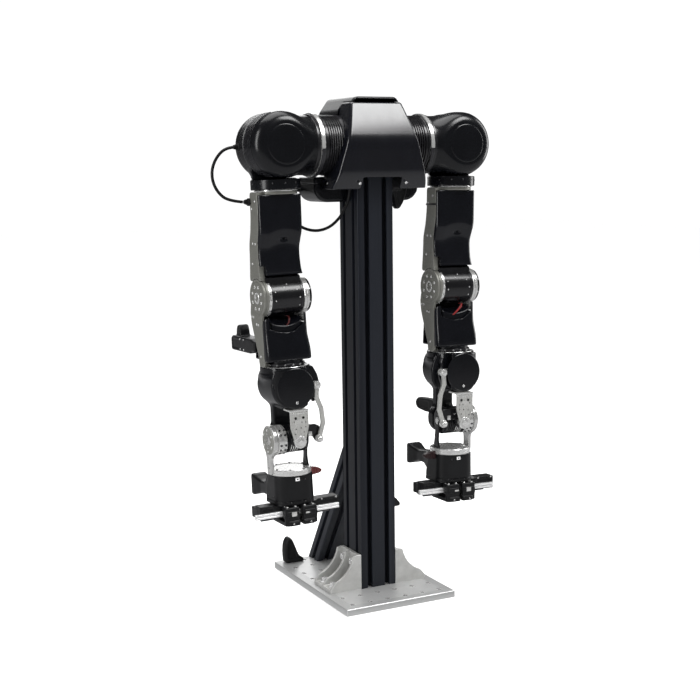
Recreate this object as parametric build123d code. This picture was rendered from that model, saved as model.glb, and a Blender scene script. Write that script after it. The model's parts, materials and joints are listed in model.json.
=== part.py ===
from build123d import *
import math
import os

# Two-arm collaborative robot on a slotted-extrusion column.
# Frame: +Z up, -Y is the front of the robot, +X is the robot's left hand side.
# The origin is on the column axis, on the underside of the base plate.  Millimetres.

# ---------------------------------------------------------------- driving dimensions
PLATE_X, PLATE_Y0, PLATE_Y1, PLATE_T = 186.0, -105.0, 165.0, 10.0
HOLE_D = 5.5                    # M5 clearance holes of the plate
HOLE_XS = (-75.0, -45.0, -15.0, 15.0, 45.0, 75.0)
HOLE_YS = (-87.0, -54.0, 53.0, 85.0, 118.0, 151.0)
COL = 60.0                      # side of the column extrusion
COL_TOP = 664.0                 # top end of the column
SLOT = 8.2                      # slot mouth
SLOT_AT = 15.0                  # slot pitch from the centre line of a face
GUS_LEG, GUS_H, GUS_W = 53.0, 55.0, 60.0
BRACE_ANGLE = 57.7              # lean of the rear brace from horizontal
BRACE_T = 30.0
SH_Z = 690.0                    # height of the shoulder axes
ARM_X = 150.3                   # shoulder roll axis, from the column axis
J1_R, J1_IN, J1_OUT = 44.0, 45.0, 88.0
RING_IN, RING_OUT, RING_R = 88.3, 94.0, 47.0
DRUM_R = 48.0
YAW_Z = 624.0                   # gap between the shoulder yoke and the upper arm
ELB_Z = 470.0                   # elbow axis
PLATE_OUT, PLATE_IN, PLATE_LAY = 38.5, 30.0, 34.2
WR_Z = 368.4                    # gap between forearm and wrist housing
WM_Z = 338.0                    # wrist crank motor axis
WM_R = 33.0
RO_Z = 258.0                    # wrist roll axis (along Y) and hand pitch axis (along X)
HP_Y = -6.0                     # hand pitch axis, forward of the arm axis
LINK_R = 34.0                   # radius of the crank and of its follower
HAND_TOP, HAND_RING = 214.0, 205.0
BODY_BOT = 160.0
BEAM_Z0, BEAM_Z1, BEAM_HALF = 142.5, 170.0, 71.0
RAIL_HALF = 68.0
JAW_X = 2.5                     # half of the gap between the two jaws at rest
TILT = 1.24                     # inward hang of each arm, about the shoulder roll axis
LEAN = 1.5                      # forward hang of each arm, about the shoulder pitch axis
CABLE_D = 4.5
FIT = 0.05                      # running clearance of every turning pin, on the radius

os.makedirs("parts", exist_ok=True)
made = {}


def box(x0, x1, y0, y1, z0, z1):
    return Pos((x0 + x1) / 2, (y0 + y1) / 2, (z0 + z1) / 2) * Box(abs(x1 - x0), abs(y1 - y0), abs(z1 - z0))


def cyl_x(r, x0, x1, y=0.0, z=0.0):
    return Pos((x0 + x1) / 2, y, z) * Rot(0, 90, 0) * Cylinder(r, abs(x1 - x0))


def cyl_y(r, y0, y1, x=0.0, z=0.0):
    return Pos(x, (y0 + y1) / 2, z) * Rot(90, 0, 0) * Cylinder(r, abs(y1 - y0))


def cyl_z(r, z0, z1, x=0.0, y=0.0):
    return Pos(x, y, (z0 + z1) / 2) * Cylinder(r, abs(z1 - z0))


def prism_yz(pts, x0, x1):
    """A closed outline in the YZ plane, made solid from x0 to x1."""
    wire = Polyline(*[(x0, y, z) for y, z in pts], close=True)
    return extrude(make_face(wire), amount=(x1 - x0), dir=(1, 0, 0))


def prism_xz(pts, y0, y1):
    wire = Polyline(*[(x, y0, z) for x, z in pts], close=True)
    return extrude(make_face(wire), amount=(y1 - y0), dir=(0, 1, 0))


def prism_xy(pts, z0, z1):
    wire = Polyline(*[(x, y, z0) for x, y in pts], close=True)
    return extrude(make_face(wire), amount=(z1 - z0), dir=(0, 0, 1))


def rrect(w, d, r, z0, z1, x=0.0, y=0.0):
    return Pos(x, y, z0) * extrude(RectangleRounded(w, d, r), amount=z1 - z0)


def rings_y(part, r, ys, x, z, depth=1.4, width=1.5):
    """Cooling grooves round a drum whose axis runs along Y."""
    for y in ys:
        part = part - (cyl_y(r + 1, y - width / 2, y + width / 2, x, z) - cyl_y(r - depth, y - width, y + width, x, z))
    return part


def rings_x(part, r, xs, y, z, depth=1.4, width=1.5):
    for x in xs:
        part = part - (cyl_x(r + 1, x - width / 2, x + width / 2, y, z) - cyl_x(r - depth, x - width, x + width, y, z))
    return part


def keep(name, shape):
    solids = shape.solids() if hasattr(shape, "solids") else [shape]
    solids = sorted(solids, key=lambda s: -s.volume)
    out = solids[0] if len(solids) == 1 else Compound(children=list(solids))
    made[name] = out
    export_step(out, "parts/%s.step" % name)
    print("%-26s solids %2d  volume %9.0f" % (name, len(solids), sum(s.volume for s in solids)))


def edges_near(part, **k):
    """Edges whose centre lies within the given limits, as x=(lo, hi) and so on."""
    def ok(e):
        c = e.center()
        return all(lo <= getattr(c, a.upper()) <= hi for a, (lo, hi) in k.items())
    return [e for e in part.edges() if ok(e)]


def soften(part, radius, **k):
    """Rounds the chosen edges, or leaves them sharp where no such rounding exists."""
    try:
        e = edges_near(part, **k)
        return fillet(e, radius) if e else part
    except Exception:
        return part


# ---------------------------------------------------------------- base
plate = box(-PLATE_X / 2, PLATE_X / 2, PLATE_Y0, PLATE_Y1, 0, PLATE_T)
plate = fillet(plate.edges().filter_by(Axis.Z), 1.5)
plate = chamfer(plate.faces().sort_by(Axis.Z)[-1].edges(), 0.8)
for hx in HOLE_XS:
    for hy in HOLE_YS:
        if hy in (118.0, 151.0) and abs(hx) < 40:
            continue            # this place lies under the foot of the brace
        if hx < -60 and hy == 151.0:
            continue            # and this one under the corner fin
        plate = plate - cyl_z(HOLE_D / 2, -1, PLATE_T + 1, hx, hy)
GB = ((-71.5, -15.0), (-71.5, 15.0), (71.5, -15.0), (71.5, 15.0))
for hx, hy in GB:
    plate = plate - cyl_z(3.2, -1, PLATE_T + 1, hx, hy)
keep("base_plate", plate)


def slot_cut(length, half, at):
    """One slot, mouth towards -Y at y = -half, run along Z from 0."""
    pts = [(at - SLOT / 2, -half - 1), (at + SLOT / 2, -half - 1), (at + SLOT / 2, -half + 4.5),
           (at + 8, -half + 4.5), (at + 8, -half + 6), (at + 4, -half + 10.5),
           (at - 4, -half + 10.5), (at - 8, -half + 6), (at - 8, -half + 4.5), (at - SLOT / 2, -half + 4.5)]
    return prism_xy(pts, -1, length + 1)


def extrusion(length, w, d):
    """A slotted profile w x d, run along Z: slots every 30 mm round the outline."""
    part = rrect(w, d, 1.5, 0, length)
    for at in [(-15, 15) if w > 40 else (0,)][0]:
        part = part - slot_cut(length, d / 2, at)
        part = part - Rot(0, 0, 180) * slot_cut(length, d / 2, -at)
    for at in [(-15, 15) if d > 40 else (0,)][0]:
        part = part - Rot(0, 0, 90) * slot_cut(length, w / 2, at)
        part = part - Rot(0, 0, -90) * slot_cut(length, w / 2, -at)
    for x in (-15, 15) if w > 40 else (0,):
        for y in (-15, 15) if d > 40 else (0,):
            part = part - cyl_z(3.4, -1, length + 1, x, y)
    if w > 40 and d > 40:
        part = part - box(-5, 5, -5, 5, -1, length + 1)
    return part


keep("column_extrusion", Pos(0, 0, PLATE_T) * extrusion(COL_TOP - PLATE_T, COL, COL))

# rear brace: a 60 x 30 profile leaning on the back of the column
a = math.radians(BRACE_ANGLE)
BR_Y = 166.0                    # where its upper face meets the plate
run = extrusion(330, 60, BRACE_T)
# profile axis along Z, its -Y face becomes the lower face of the brace
run = Pos(0, -BRACE_T / 2, -60) * run
run = Pos(0, BR_Y, PLATE_T) * Rot(90 - BRACE_ANGLE, 0, 0) * run
brace = run & box(-40, 40, COL / 2, 300, PLATE_T, 400)
keep("brace_extrusion", brace)

# cast corner brackets, one on each side of the column foot
def gusset(s):
    x0, x1 = COL / 2, COL / 2 + GUS_LEG
    z0, z1 = PLATE_T, PLATE_T + GUS_H
    foot = box(x0, x1, -GUS_W / 2, GUS_W / 2, z0, z0 + 6)
    back = box(x0, x0 + 6, -GUS_W / 2, GUS_W / 2, z0, z1)
    g = foot + back
    n = 9
    arc = []
    R = 62.0
    cx, cz = x0 + 6 + R - 6, z0 + 6 + R - 6
    for i in range(n + 1):
        t = math.pi + (math.pi / 2) * i / n
        arc.append((cx + (R) * math.cos(t) * 0.80 - 0, cz + R * math.sin(t) * 0.80))
    pts = [(x0, z0), (x1, z0), (x1, z0 + 6)] + [(min(x, x1 - 0.5), min(z, z1 - 0.5)) for x, z in reversed(arc) if x < x1 - 0.6 and z < z1 - 0.6] + [(x0 + 6, z1), (x0, z1)]
    for y in (-GUS_W / 2, -2.5, GUS_W / 2 - 5):
        g = g + prism_xz(pts, y, y + 5)
    for yy in (-15, 15):
        g = g - cyl_z(3.2, z0 - 1, z0 + 9, x0 + 41.5, yy)
        g = g - cyl_x(3.2, x0 - 1, x0 + 9, yy, z0 + 42)
    g = g.solids().sort_by(Axis.Z)[0] if len(g.solids()) > 1 else g
    return g if s > 0 else mirror(g, about=Plane.YZ)


keep("base_gussets", Compound(children=[gusset(1).solid(), gusset(-1).solid()]))


def screw_z(x, y, z, d=5.0, head=9.0, hh=5.0, length=12.0):
    s = cyl_z(head / 2, z, z + hh, x, y) + cyl_z(d / 2, z - length, z, x, y)
    return s - cyl_z(2.2, z + hh - 2.5, z + hh + 1, x, y)


bolts = []
for hx, hy in GB:
    bolts.append(screw_z(hx, hy, PLATE_T + 6, 6.0, 10.0, 6.0, 14.0).solid())
for s in (-1, 1):
    for yy in (-15, 15):
        b = cyl_x(5.0, COL / 2 + 6, COL / 2 + 12, yy, PLATE_T + 42) + cyl_x(3.0, COL / 2 - 3.5, COL / 2 + 6, yy, PLATE_T + 42)
        b = b - cyl_x(2.2, COL / 2 + 9.5, COL / 2 + 13, yy, PLATE_T + 42)
        bolts.append((b if s > 0 else mirror(b, about=Plane.YZ)).solid())
keep("gusset_bolts", Compound(children=bolts))

# curved fin standing on the rear corner of the plate
FX, FY = -68.0, 152.0
fin_pts = [(FX - 13, PLATE_T), (FX - 14, 34), (FX - 12.5, 46), (FX - 8.5, 53), (FX - 3.5, 53.5), (FX + 1.5, 48),
           (FX + 6, 38), (FX + 10, 26), (FX + 14, 18), (FX + 20, 14), (FX + 20, PLATE_T)]
fin = prism_xz(fin_pts, FY - 10, FY + 8)
fin = soften(fin, 3.0, y=(FY - 10.1, FY - 9.9), z=(PLATE_T + 4, 80))
fin = soften(fin, 3.0, y=(FY + 7.9, FY + 8.1), z=(PLATE_T + 4, 80))
keep("corner_fin", fin)

# ---------------------------------------------------------------- torso
mount = box(-J1_IN, J1_IN, -32, 40, COL_TOP, 716)
mount = fillet(mount.edges().filter_by(Axis.X), 5)
for s in (-1, 1):
    mount = mount - cyl_x(12, s * 20, s * (J1_IN + 1), 0, SH_Z)
keep("shoulder_block", mount)

motors = []
for s in (-1, 1):
    m = cyl_x(J1_R, J1_IN, J1_OUT, 0, SH_Z)
    m = rings_x(m, J1_R, [58 + 4.0 * i for i in range(7)], 0, SH_Z)
    m = m - cyl_x(16.05, 60, J1_OUT + 1, 0, SH_Z)
    motors.append((m if s > 0 else mirror(m, about=Plane.YZ)).solid())
keep("shoulder_motors", Compound(children=motors))


def cover_outer(off):
    """Outer form of the front cover, shrunk by off all round."""
    secs = []
    # z, half width, front y
    for z, w, yf in ((626.0 - off, 73.0, -47.0), (641.0, 63.0, -57.0), (694.0, 52.0, -61.5), (752.0 - off, 41.0, -37.0)):
        w2, y0 = w - off, yf + off
        pts = [(-w2, -6 + off * 0), (-w2, y0), (w2, y0), (w2, -6)]
        secs.append(make_face(Polyline(*[(x, y, z) for x, y in pts], close=True)))
    part = loft([secs[0], secs[1]], ruled=True) + loft([secs[1], secs[2]], ruled=True) + loft([secs[2], secs[3]], ruled=True)
    return part


cov = cover_outer(0.0)
inn = cover_outer(3.0)
cov = cov - (inn & box(-100, 100, -100, -5.5, 600, 749))
cov = cov - box(-100, 100, -6.2, 5, 600, 760)
cov = cov - cyl_x(J1_R + 0.4, -120, 120, 0, SH_Z)
cov = cov - box(-32.5, 32.5, -80, 0, 600, 642)
cov = cov - box(-200, 200, -80, 0, 600, 626.5)
cov_s = cov.solids().sort_by(SortBy.VOLUME)[-1]
keep("torso_front_cover", cov_s)

hz0, hz1 = 644.0, 760.0
prof = [(-50, hz0), (50, hz0), (50, hz1 - 22), (34, hz1), (-34, hz1), (-50, hz1 - 22)]
inner = [(-47, hz0 - 3), (47, hz0 - 3), (47, hz1 - 23.2), (32.6, hz1 - 3), (-32.6, hz1 - 3), (-47, hz1 - 23.2)]
rear = prism_xz(prof, -36, 60) - prism_xz(inner, -37, 57)
rear = rear - cyl_x(J1_R + 0.4, -120, 120, 0, SH_Z)
rear = rear - box(-60, 60, -40, -5.7, 600, 752.3)      # the front cover takes this place
rear = rear - box(-60, 60, -40, 41, 600, 716.3) .intersect(box(-45.3, 45.3, -40, 41, 600, 716.3)) if False else rear
rear_s = rear.solids().sort_by(SortBy.VOLUME)[-1]
keep("torso_rear_cover", rear_s)

low = box(-88, 88, -5.9, 55, 606, 643.5)
low = chamfer(low.edges().filter_by(Axis.Y).group_by(Axis.Z)[0], 12)
low = fillet(low.edges().filter_by(Axis.Z), 5)
low = low - box(-30.25, 30.25, -40, 30.25, 590, 660)
low = low - box(-20, 20, 34, 52, 610, 640)
keep("torso_lower_box", low)

# release paddle of the column clamp, on the column's side below the torso
lev_pts = [(30.25, 641), (56, 641), (60, 632), (58, 618), (52, 604), (46, 594), (40, 593), (37, 600), (36, 612), (30.25, 620)]
lev = prism_xz(lev_pts, -24, -11)
lev = lev + prism_xz([(30.25, 641), (50, 641), (50, 626), (30.25, 622)], -28, -8.3)
lev = soften(lev, 3.0, y=(-24.1, -23.9), z=(580, 622))
keep("clamp_lever", lev)


# ---------------------------------------------------------------- arms
def place(shape, s, level):
    """Moves a piece made for the left arm at x = 0 to arm s (+1 left, -1 right).
    level 0: shoulder body, level 1: everything past the roll axis."""
    p = Pos(s * ARM_X, 0, 0) * shape
    if level > 0:
        p = Pos(s * ARM_X, 0, SH_Z) * Rot(0, s * TILT, 0) * Pos(-s * ARM_X, 0, -SH_Z) * p
    return Pos(0, 0, SH_Z) * Rot(-LEAN, 0, 0) * Pos(0, 0, -SH_Z) * p


def arm_piece(name, shape, s, level=1, handed=True):
    """handed pieces are mirror images on the two arms; the others are the same."""
    if handed and s < 0:
        shape = mirror(shape, about=Plane.YZ)
    keep(("left_" if s > 0 else "right_") + name, place(shape, s, level))


# shoulder body: neck along X that runs into the front half of the roll drum
neck = cyl_x(44, -(ARM_X - RING_OUT), 0, 0, SH_Z)
drum = cyl_y(DRUM_R, -47, -0.6, 0, SH_Z)
drum = fillet(drum.edges().group_by(Axis.Y)[0], 12)
sb = neck + drum
sb = sb - cyl_y(DRUM_R + 1.2, -0.6, 60, 0, SH_Z)
sb = sb - box(-200, 200, 44.5, 80, 500, 800)
sb = sb - cyl_y(18.05, -30, 0, 0, SH_Z)                  # seat of the roll shaft
sb_s = sb.solids().sort_by(SortBy.VOLUME)[-1]

ring = cyl_x(RING_R, -(ARM_X - RING_IN), -(ARM_X - RING_OUT), 0, SH_Z)
hub = cyl_x(16, -(ARM_X - 62), -(ARM_X - RING_IN), 0, SH_Z)
ring = ring + hub
for i in range(12):
    t = math.radians(30 * i + 15)
    ring = ring - cyl_x(1.6, -(ARM_X - RING_IN) - 1, -(ARM_X - RING_IN) + 2.5, (RING_R - 3) * math.cos(t), SH_Z + (RING_R - 3) * math.sin(t))

# roll yoke: the ribbed rear half of the drum, with a neck down to the yaw collar
yk = cyl_y(DRUM_R, 0.6, 36, 0, SH_Z)
yk = fillet(yk.edges().group_by(Axis.Y)[-1], 9)
yk = rings_y(yk, DRUM_R, [5 + 4.0 * i for i in range(5)], 0, SH_Z)
web = prism_xz([(-36.5, 629), (36.6, 629), (37.5, 641), (44, 665), (47.0, 684), (-18, 684), (-18, 648.5), (-20, 644.4), (-30, 640.6), (-36.5, 639.8)], 2.0, 27)
col_r = cyl_z(36.7, 629, 641.2)
yk = yk + web + col_r
yk = yk + cyl_y(18, -28, 0.7, 0, SH_Z)                   # roll shaft
yk = yk - cyl_z(14, 620, 640)
yk_s = yk.solids().sort_by(SortBy.VOLUME)[-1]
gland = cyl_x(4.2, 46.0, 50.5, 20, SH_Z)

flange = cyl_z(31, 624.4, 629) + cyl_z(13.9, 629, 639)
flange = flange - cyl_z(8.05, 620, 636)
for i in range(10):
    t = math.radians(36 * i)
    flange = flange - cyl_z(1.7, 623, 627, 26.5 * math.cos(t), 26.5 * math.sin(t))

# upper arm side plate: on the -X side of both arms
top_z = 624.0
up_main = [(-19, top_z), (19, top_z), (19.5, 590), (18, 565), (18, 545), (21, 520), (24, 496), (24, 489), (-24, 489), (-24, 496), (-20, 520), (-17.5, 545), (-17.5, 565), (-19, 590)]
up_in = prism_yz(up_main, -PLATE_LAY, -PLATE_IN) + cyl_x(28, -PLATE_LAY, -PLATE_IN, 0, ELB_Z)
up_out = prism_yz([(-19, top_z), (19, top_z), (19.5, 590), (18, 565), (18, 545), (21, 520), (24, 494), (-24, 494), (-20, 520), (-17.5, 545), (-17.5, 565), (-19, 590)], -PLATE_OUT, -PLATE_LAY)
up_out = up_out - cyl_x(29.0, -60, 0, 0, ELB_Z)
up_plate = up_in + up_out
top_fl = rrect(56, 42, 12, top_z - 4.5, top_z, 0, 0) & box(-60, 40, -30, 30, 600, 640)
up_plate = up_plate + box(-PLATE_LAY, -20, -19, 19, top_z - 4.5, top_z) + (cyl_z(31, top_z - 4.5, top_z) & box(-31, 40, -31, 31, 600, 640))
up_plate = up_plate + cyl_z(8, top_z, top_z + 11)        # yaw shaft
up_plate = up_plate - cyl_x(12, -50, -20, 0, ELB_Z)

# upper arm cover: a shell that closes on the side plate
cz0, cz1 = 503.0, top_z - 4.7
def cover_sec(z, xr, yf, yr):
    return [(-PLATE_IN + 0.0, -yf + 6, z), (-PLATE_IN + 6, -yf, z), (xr - 9, -yf, z), (xr, -yf + 9, z), (xr, yr - 9, z), (xr - 9, yr, z), (-PLATE_IN + 6, yr, z), (-PLATE_IN, yr - 6, z)]


def ruled(secs, fn):
    fs = [make_face(Polyline(*fn(*s), close=True)) for s in secs]
    out = loft([fs[0], fs[1]], ruled=True)
    for i in range(1, len(fs) - 1):
        out = out + loft([fs[i], fs[i + 1]], ruled=True)
    return out


up_secs = [(cz0, 31.5, 26, 22), (520, 31, 25, 22), (548, 29.5, 19.5, 21), (570, 30, 23.5, 22), (cz1, 31, 24, 22)]
up_shell = ruled(up_secs, cover_sec)
def cover_in(z, xr, yf, yr):
    return [(-PLATE_IN - 1, -yf + 8.5, z), (-PLATE_IN + 6, -yf + 2.5, z), (xr - 10, -yf + 2.5, z), (xr - 2.5, -yf + 10, z), (xr - 2.5, yr - 10, z), (xr - 10, yr - 2.5, z), (-PLATE_IN + 6, yr - 2.5, z), (-PLATE_IN - 1, yr - 8.5, z)]
up_hollow = ruled([(cz0 - 1, 31.5, 26, 22), (520, 31, 25, 22), (548, 29.5, 19.5, 21), (570, 30, 23.5, 22), (cz1 - 2.5, 31, 24, 22)], cover_in)
up_cover = (up_shell - up_hollow).solids().sort_by(SortBy.VOLUME)[-1]

# elbow drive, fixed to the upper arm plate
elbow = cyl_x(25.5, -PLATE_IN, 26.0, 0, ELB_Z)
elbow = elbow + (box(-PLATE_IN, 24, -17, 17, 484, 502.6) & cyl_x(34, -60, 60, 0, ELB_Z))
elbow = elbow - cyl_x(10.05, 8, 27, 0, ELB_Z)
elbow_s = elbow.solids().sort_by(SortBy.VOLUME)[-1]

# forearm plate with the elbow disc and the foot that carries the wrist yaw drive
fz0 = WR_Z + 0.4
leg = [(-26, 462), (27, 462), (26, 440), (20, 418), (15.5, 395), (13, 380), (13, fz0), (-10, fz0), (-9, 395), (-5, 425), (-6, 440), (-16, 450)]
fp = cyl_x(28, -PLATE_OUT, -PLATE_LAY - 0.4, 0, ELB_Z) + prism_yz(leg, -PLATE_OUT, -PLATE_LAY - 0.4)
fp = fp + box(-PLATE_OUT, -26, -10, 13, fz0, fz0 + 4.2) + cyl_z(30, fz0, fz0 + 4.2)
fp = fp + cyl_x(11.9, -PLATE_LAY - 0.4, -PLATE_IN, 0, ELB_Z)      # elbow trunnion in the side plate
fp = fp - cyl_z(9.05, fz0 - 1, fz0 + 5)
for i in range(8):
    t = math.radians(45 * i + 22.5)
    fp = fp - cyl_x(1.7, -PLATE_OUT - 1, -PLATE_OUT + 2.2, 17 * math.cos(t), ELB_Z + 17 * math.sin(t))

band = cyl_x(27.0, 26.4, 34.6, 0, ELB_Z)
ear = [(-13, 462), (13, 462), (15, 446), (15, 432), (-15, 432), (-15, 446)]
band = band + prism_yz(ear, 26.4, 30.0)
band = band + cyl_x(10.0, 9, 26.4, 0, ELB_Z)
cap = cyl_x(25.0, 34.6, 39.3, 0, ELB_Z)
cap = fillet(cap.edges().group_by(Axis.X)[-1], 2.5)
band_s = band + cap

def fore_sec(z, xr, yf, yr, xl):
    return [(xl, -yf + 8, z), (xl + 8, -yf, z), (xr - 11, -yf, z), (xr, -yf + 11, z), (xr, yr - 11, z), (xr - 11, yr, z), (xl + 8, yr, z), (xl, yr - 8, z)]
fs = [(fz0 + 4.4, 36.0, 31, 30, -34.2), (392, 35.0, 30, 28, -34.2), (414, 30.5, 25, 26, -34.2), (448, 30.5, 24, 26, -34.2)]
fore = ruled(fs, fore_sec)
def fore_in(z, xr, yf, yr, xl):
    return [(xl - 1, -yf + 10.5, z), (xl + 8, -yf + 2.5, z), (xr - 12, -yf + 2.5, z), (xr - 2.5, -yf + 12, z), (xr - 2.5, yr - 12, z), (xr - 12, yr - 2.5, z), (xl + 8, yr - 2.5, z), (xl - 1, yr - 10.5, z)]
fore_h = ruled([(fz0 + 8, 36.0, 31, 30, -34.2), (392, 35.0, 30, 28, -34.2), (414, 30.5, 25, 26, -34.2), (449, 30.5, 24, 26, -34.2)], fore_in)
fore = fore - fore_h
fore = fore - cyl_x(29.2, -60, 26.3, 0, ELB_Z) - cyl_x(27.3, 20, 60, 0, ELB_Z)
fore = fore - cyl_x(36.5, -60, -29.6, 0, ELB_Z)          # room for the upper arm plate when the elbow folds
fore = fore - box(26.2, 30.2, -15.3, 15.3, 431.7, 470)
# the front opening that the wires of the elbow pass, and the raised rear lip
fore = fore - prism_yz([(-60, 470), (0, 470), (-6, 438), (-16, 424), (-60, 416)], -33, 25)
fore = fore - box(-60, 60, -50, 50, 446, 480)
fore_s = fore.solids().sort_by(SortBy.VOLUME)[-1]

# wrist housing: cup, crank motor drum, rear leg to the roll bearing
cup = cyl_z(37, 352, WR_Z)
cup = chamfer(cup.edges().group_by(Axis.Z)[0], 6)
wdrum = cyl_y(WM_R, -27, 34, 0, WM_Z)
wdrum = fillet(wdrum.edges().group_by(Axis.Y)[-1], 6)
fcap = (cyl_y(WM_R, -39, -33, 0, WM_Z) & box(0, 60, -60, 0, 306.4, 400)) + (cyl_y(28, -39, -33, 0, WM_Z) & box(-60, 60, -60, 0, 306.4, 400))
bridge = (cyl_y(WM_R, -33.2, -26.8, 0, WM_Z) - cyl_y(13, -34, -26, 0, WM_Z)) & box(2, 60, -60, 0, 310, 370)
sides = box(-30, 30, -24, 26, 338, 356)
legr = box(-15, 15, 16.2, 30, RO_Z, 330) + cyl_y(23, 16.2, 30, 0, RO_Z)
pad = box(-13.5, 13.5, -26, 30, 306.0, 325)
guard = prism_xz([(-30, 368), (-36, 366), (-43, 352), (-46, 338), (-45, 324), (-39, 313), (-34, 310), (-28, 318), (-28, 360)], -22, -16)
wh = cup + wdrum + sides + pad + bridge + fcap + legr + guard
wh = wh - cyl_y(13, -32.7, -27.2, 0, WM_Z)               # crank hub room
wh = wh - prism_xz([(1, WM_Z - 13), (1, WM_Z + 13), (-24, WM_Z + 40), (-60, WM_Z + 40), (-60, WM_Z - 40), (-24, WM_Z - 40)], -32.7, -27.2)
wh = wh - box(-15.2, 15.2, -43, -14, 295, 306.0)
wh = wh - cyl_y(5.0 + FIT, -28, -18, 0, WM_Z)
wh = wh - cyl_y(8.0 + FIT, 15, 27, 0, RO_Z)
wh = wh - box(-60, 60, -60, 60, WR_Z, 400)
wh = wh + cyl_z(9.0, WR_Z - 0.1, fz0 + 4.0)              # wrist yaw shaft
wh_s = wh.solids().sort_by(SortBy.VOLUME)[-1]

# pressed front bracket with the front roll bearing
br = prism_xz([(-14.5, 306), (14.5, 306), (14.5, 280), (8.5, RO_Z), (-8.5, RO_Z), (-14.5, 280)], -44.5, -42) + cyl_y(9, -44.5, -42, 0, RO_Z)
br = br + box(-14.5, 14.5, -42, -20, 303.6, 306)
br = br - cyl_y(6.0 + FIT, -50, -40, 0, RO_Z)
br = br - cyl_y(1.8, -50, -40, -6, 294) - cyl_y(1.8, -50, -40, 6, 294)

# crank (outwards is +X here, so the linkage lies at -X)
crank = cyl_y(9, -32.2, -27.7, 0, WM_Z) + prism_xz([(0, WM_Z - 6), (0, WM_Z + 6), (-LINK_R, WM_Z + 4.5), (-LINK_R, WM_Z - 4.5)], -32.2, -27.7) + cyl_y(5.5, -32.2, -27.7, -LINK_R, WM_Z)
crank = crank + cyl_y(5.0, -27.8, -18.5, 0, WM_Z) + cyl_y(2.5, -38.6, -32.0, -LINK_R, WM_Z) + cyl_y(4.3, -40.6, -38.2, -LINK_R, WM_Z)

# link bar with its dog-leg
L0, L1 = WM_Z, RO_Z
lk = prism_xz([(-LINK_R + 4, L0), (-LINK_R + 4, 322), (-38, 307), (-38, 285), (-LINK_R + 3.5, 270), (-LINK_R + 4, L1), (-LINK_R - 4, L1), (-LINK_R - 4, 268), (-46, 283), (-46, 308), (-LINK_R - 4.5, 322), (-LINK_R - 4, L0)], -37.8, -34.0)
lk = lk + cyl_y(5, -37.8, -34.0, -LINK_R, L0) + cyl_y(5, -37.8, -34.0, -LINK_R, L1)
lk = lk - cyl_y(2.5 + FIT, -50, -20, -LINK_R, L0) - cyl_y(3.3, -50, -20, -LINK_R, L1)

# roll block: the hand pitch motor across the wrist
hm = cyl_x(21, -22, 27, HP_Y, RO_Z)
hm = rings_x(hm, 21, [-14, -10, -6, -2, 2, 6, 10], HP_Y, RO_Z, 1.2, 1.4)
hm = hm + cyl_y(9, -32, -20, 0, RO_Z) + cyl_y(6.0, -46, -32, 0, RO_Z) + cyl_y(8.0, 12, 26.5, 0, RO_Z)
hm = hm + box(-38, 4, -32, -28, 266, 276) + box(-38, -30.5, -32, -28, RO_Z - 4, 276) + box(-4, 4, -32, -12, 258, 276)
hm = hm + cyl_y(4.4, -32, -28, -LINK_R, RO_Z) + cyl_y(2.5, -38.6, -32, -LINK_R, RO_Z) + cyl_y(4.6, -41, -38.4, -LINK_R, RO_Z)
hm = hm + cyl_x(6.0, -27.4, -21.9, HP_Y, RO_Z)           # inner trunnion
hm = hm + cyl_x(7.0, 26.9, 34.0, HP_Y, RO_Z)             # outer drive shaft
hm_s = hm.solids().sort_by(SortBy.VOLUME)[-1]

# hand yoke: outer bolted disc and arm, round plate, thin inner arm
yo = cyl_x(23, 28, 35, HP_Y, RO_Z)
yo = yo - cyl_x(7.0 + FIT, 27, 36, HP_Y, RO_Z)
yo = yo + prism_yz([(HP_Y - 21, RO_Z - 8), (HP_Y + 21, RO_Z - 8), (7, 228), (7, HAND_RING), (-9, HAND_RING), (-9, 228)], 28, 35)
yo = yo - cyl_x(7.0 + FIT, 27, 36, HP_Y, RO_Z)
yo = yo + cyl_z(32, HAND_RING, HAND_TOP)
inner_arm = cyl_x(9, -27.2, -24.2, HP_Y, RO_Z) + prism_yz([(HP_Y - 5, RO_Z), (HP_Y + 5, RO_Z), (4, 225), (4, HAND_RING + 4), (-8, HAND_RING + 4), (-8, 225)], -27.2, -24.2)
inner_arm = inner_arm - cyl_x(6.0 + FIT, -30, -20, HP_Y, RO_Z)
yo = yo + inner_arm
for i in range(6):
    t = math.radians(60 * i + 30)
    yo = yo - cyl_x(1.8, 33, 36, HP_Y + 16 * math.cos(t), RO_Z + 16 * math.sin(t))
yo_s = yo.solids().sort_by(SortBy.VOLUME)[-1]

# gripper body: round at the top, squared below
def gb_sec(z, w, yf, yr, c):
    return [(-w, -yf + c, z), (-w + c, -yf, z), (w - c, -yf, z), (w, -yf + c, z), (w, yr - c, z), (w - c, yr, z), (-w + c, yr, z), (-w, yr - c, z)]
gb = ruled([(BODY_BOT, 32.5, 25, 24, 5), (185, 31.5, 27, 26, 12), (HAND_RING, 31, 31, 31, 18.2)], gb_sec)

# rear hand camera on its flared arm
cam = ruled([(32.0, 10, 178, 201, 3), (60, 8.5, 181, 199, 3), (80, 11, 176, 203, 4), (97, 13, 172, 206, 4)],
            lambda y, w, za, zb, c: [(-w + c, y, za), (w - c, y, za), (w, y, za + c), (w, y, zb - c), (w - c, y, zb), (-w + c, y, zb), (-w, y, zb - c), (-w, y, za + c)])
cam = Pos(-5, 0, 0) * cam
cam = cam + box(-15, 7, 25.6, 33, 176, 202)
cam = cam - gb
cam = cam - cyl_y(6, 92, 99, -5, 189)

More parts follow.
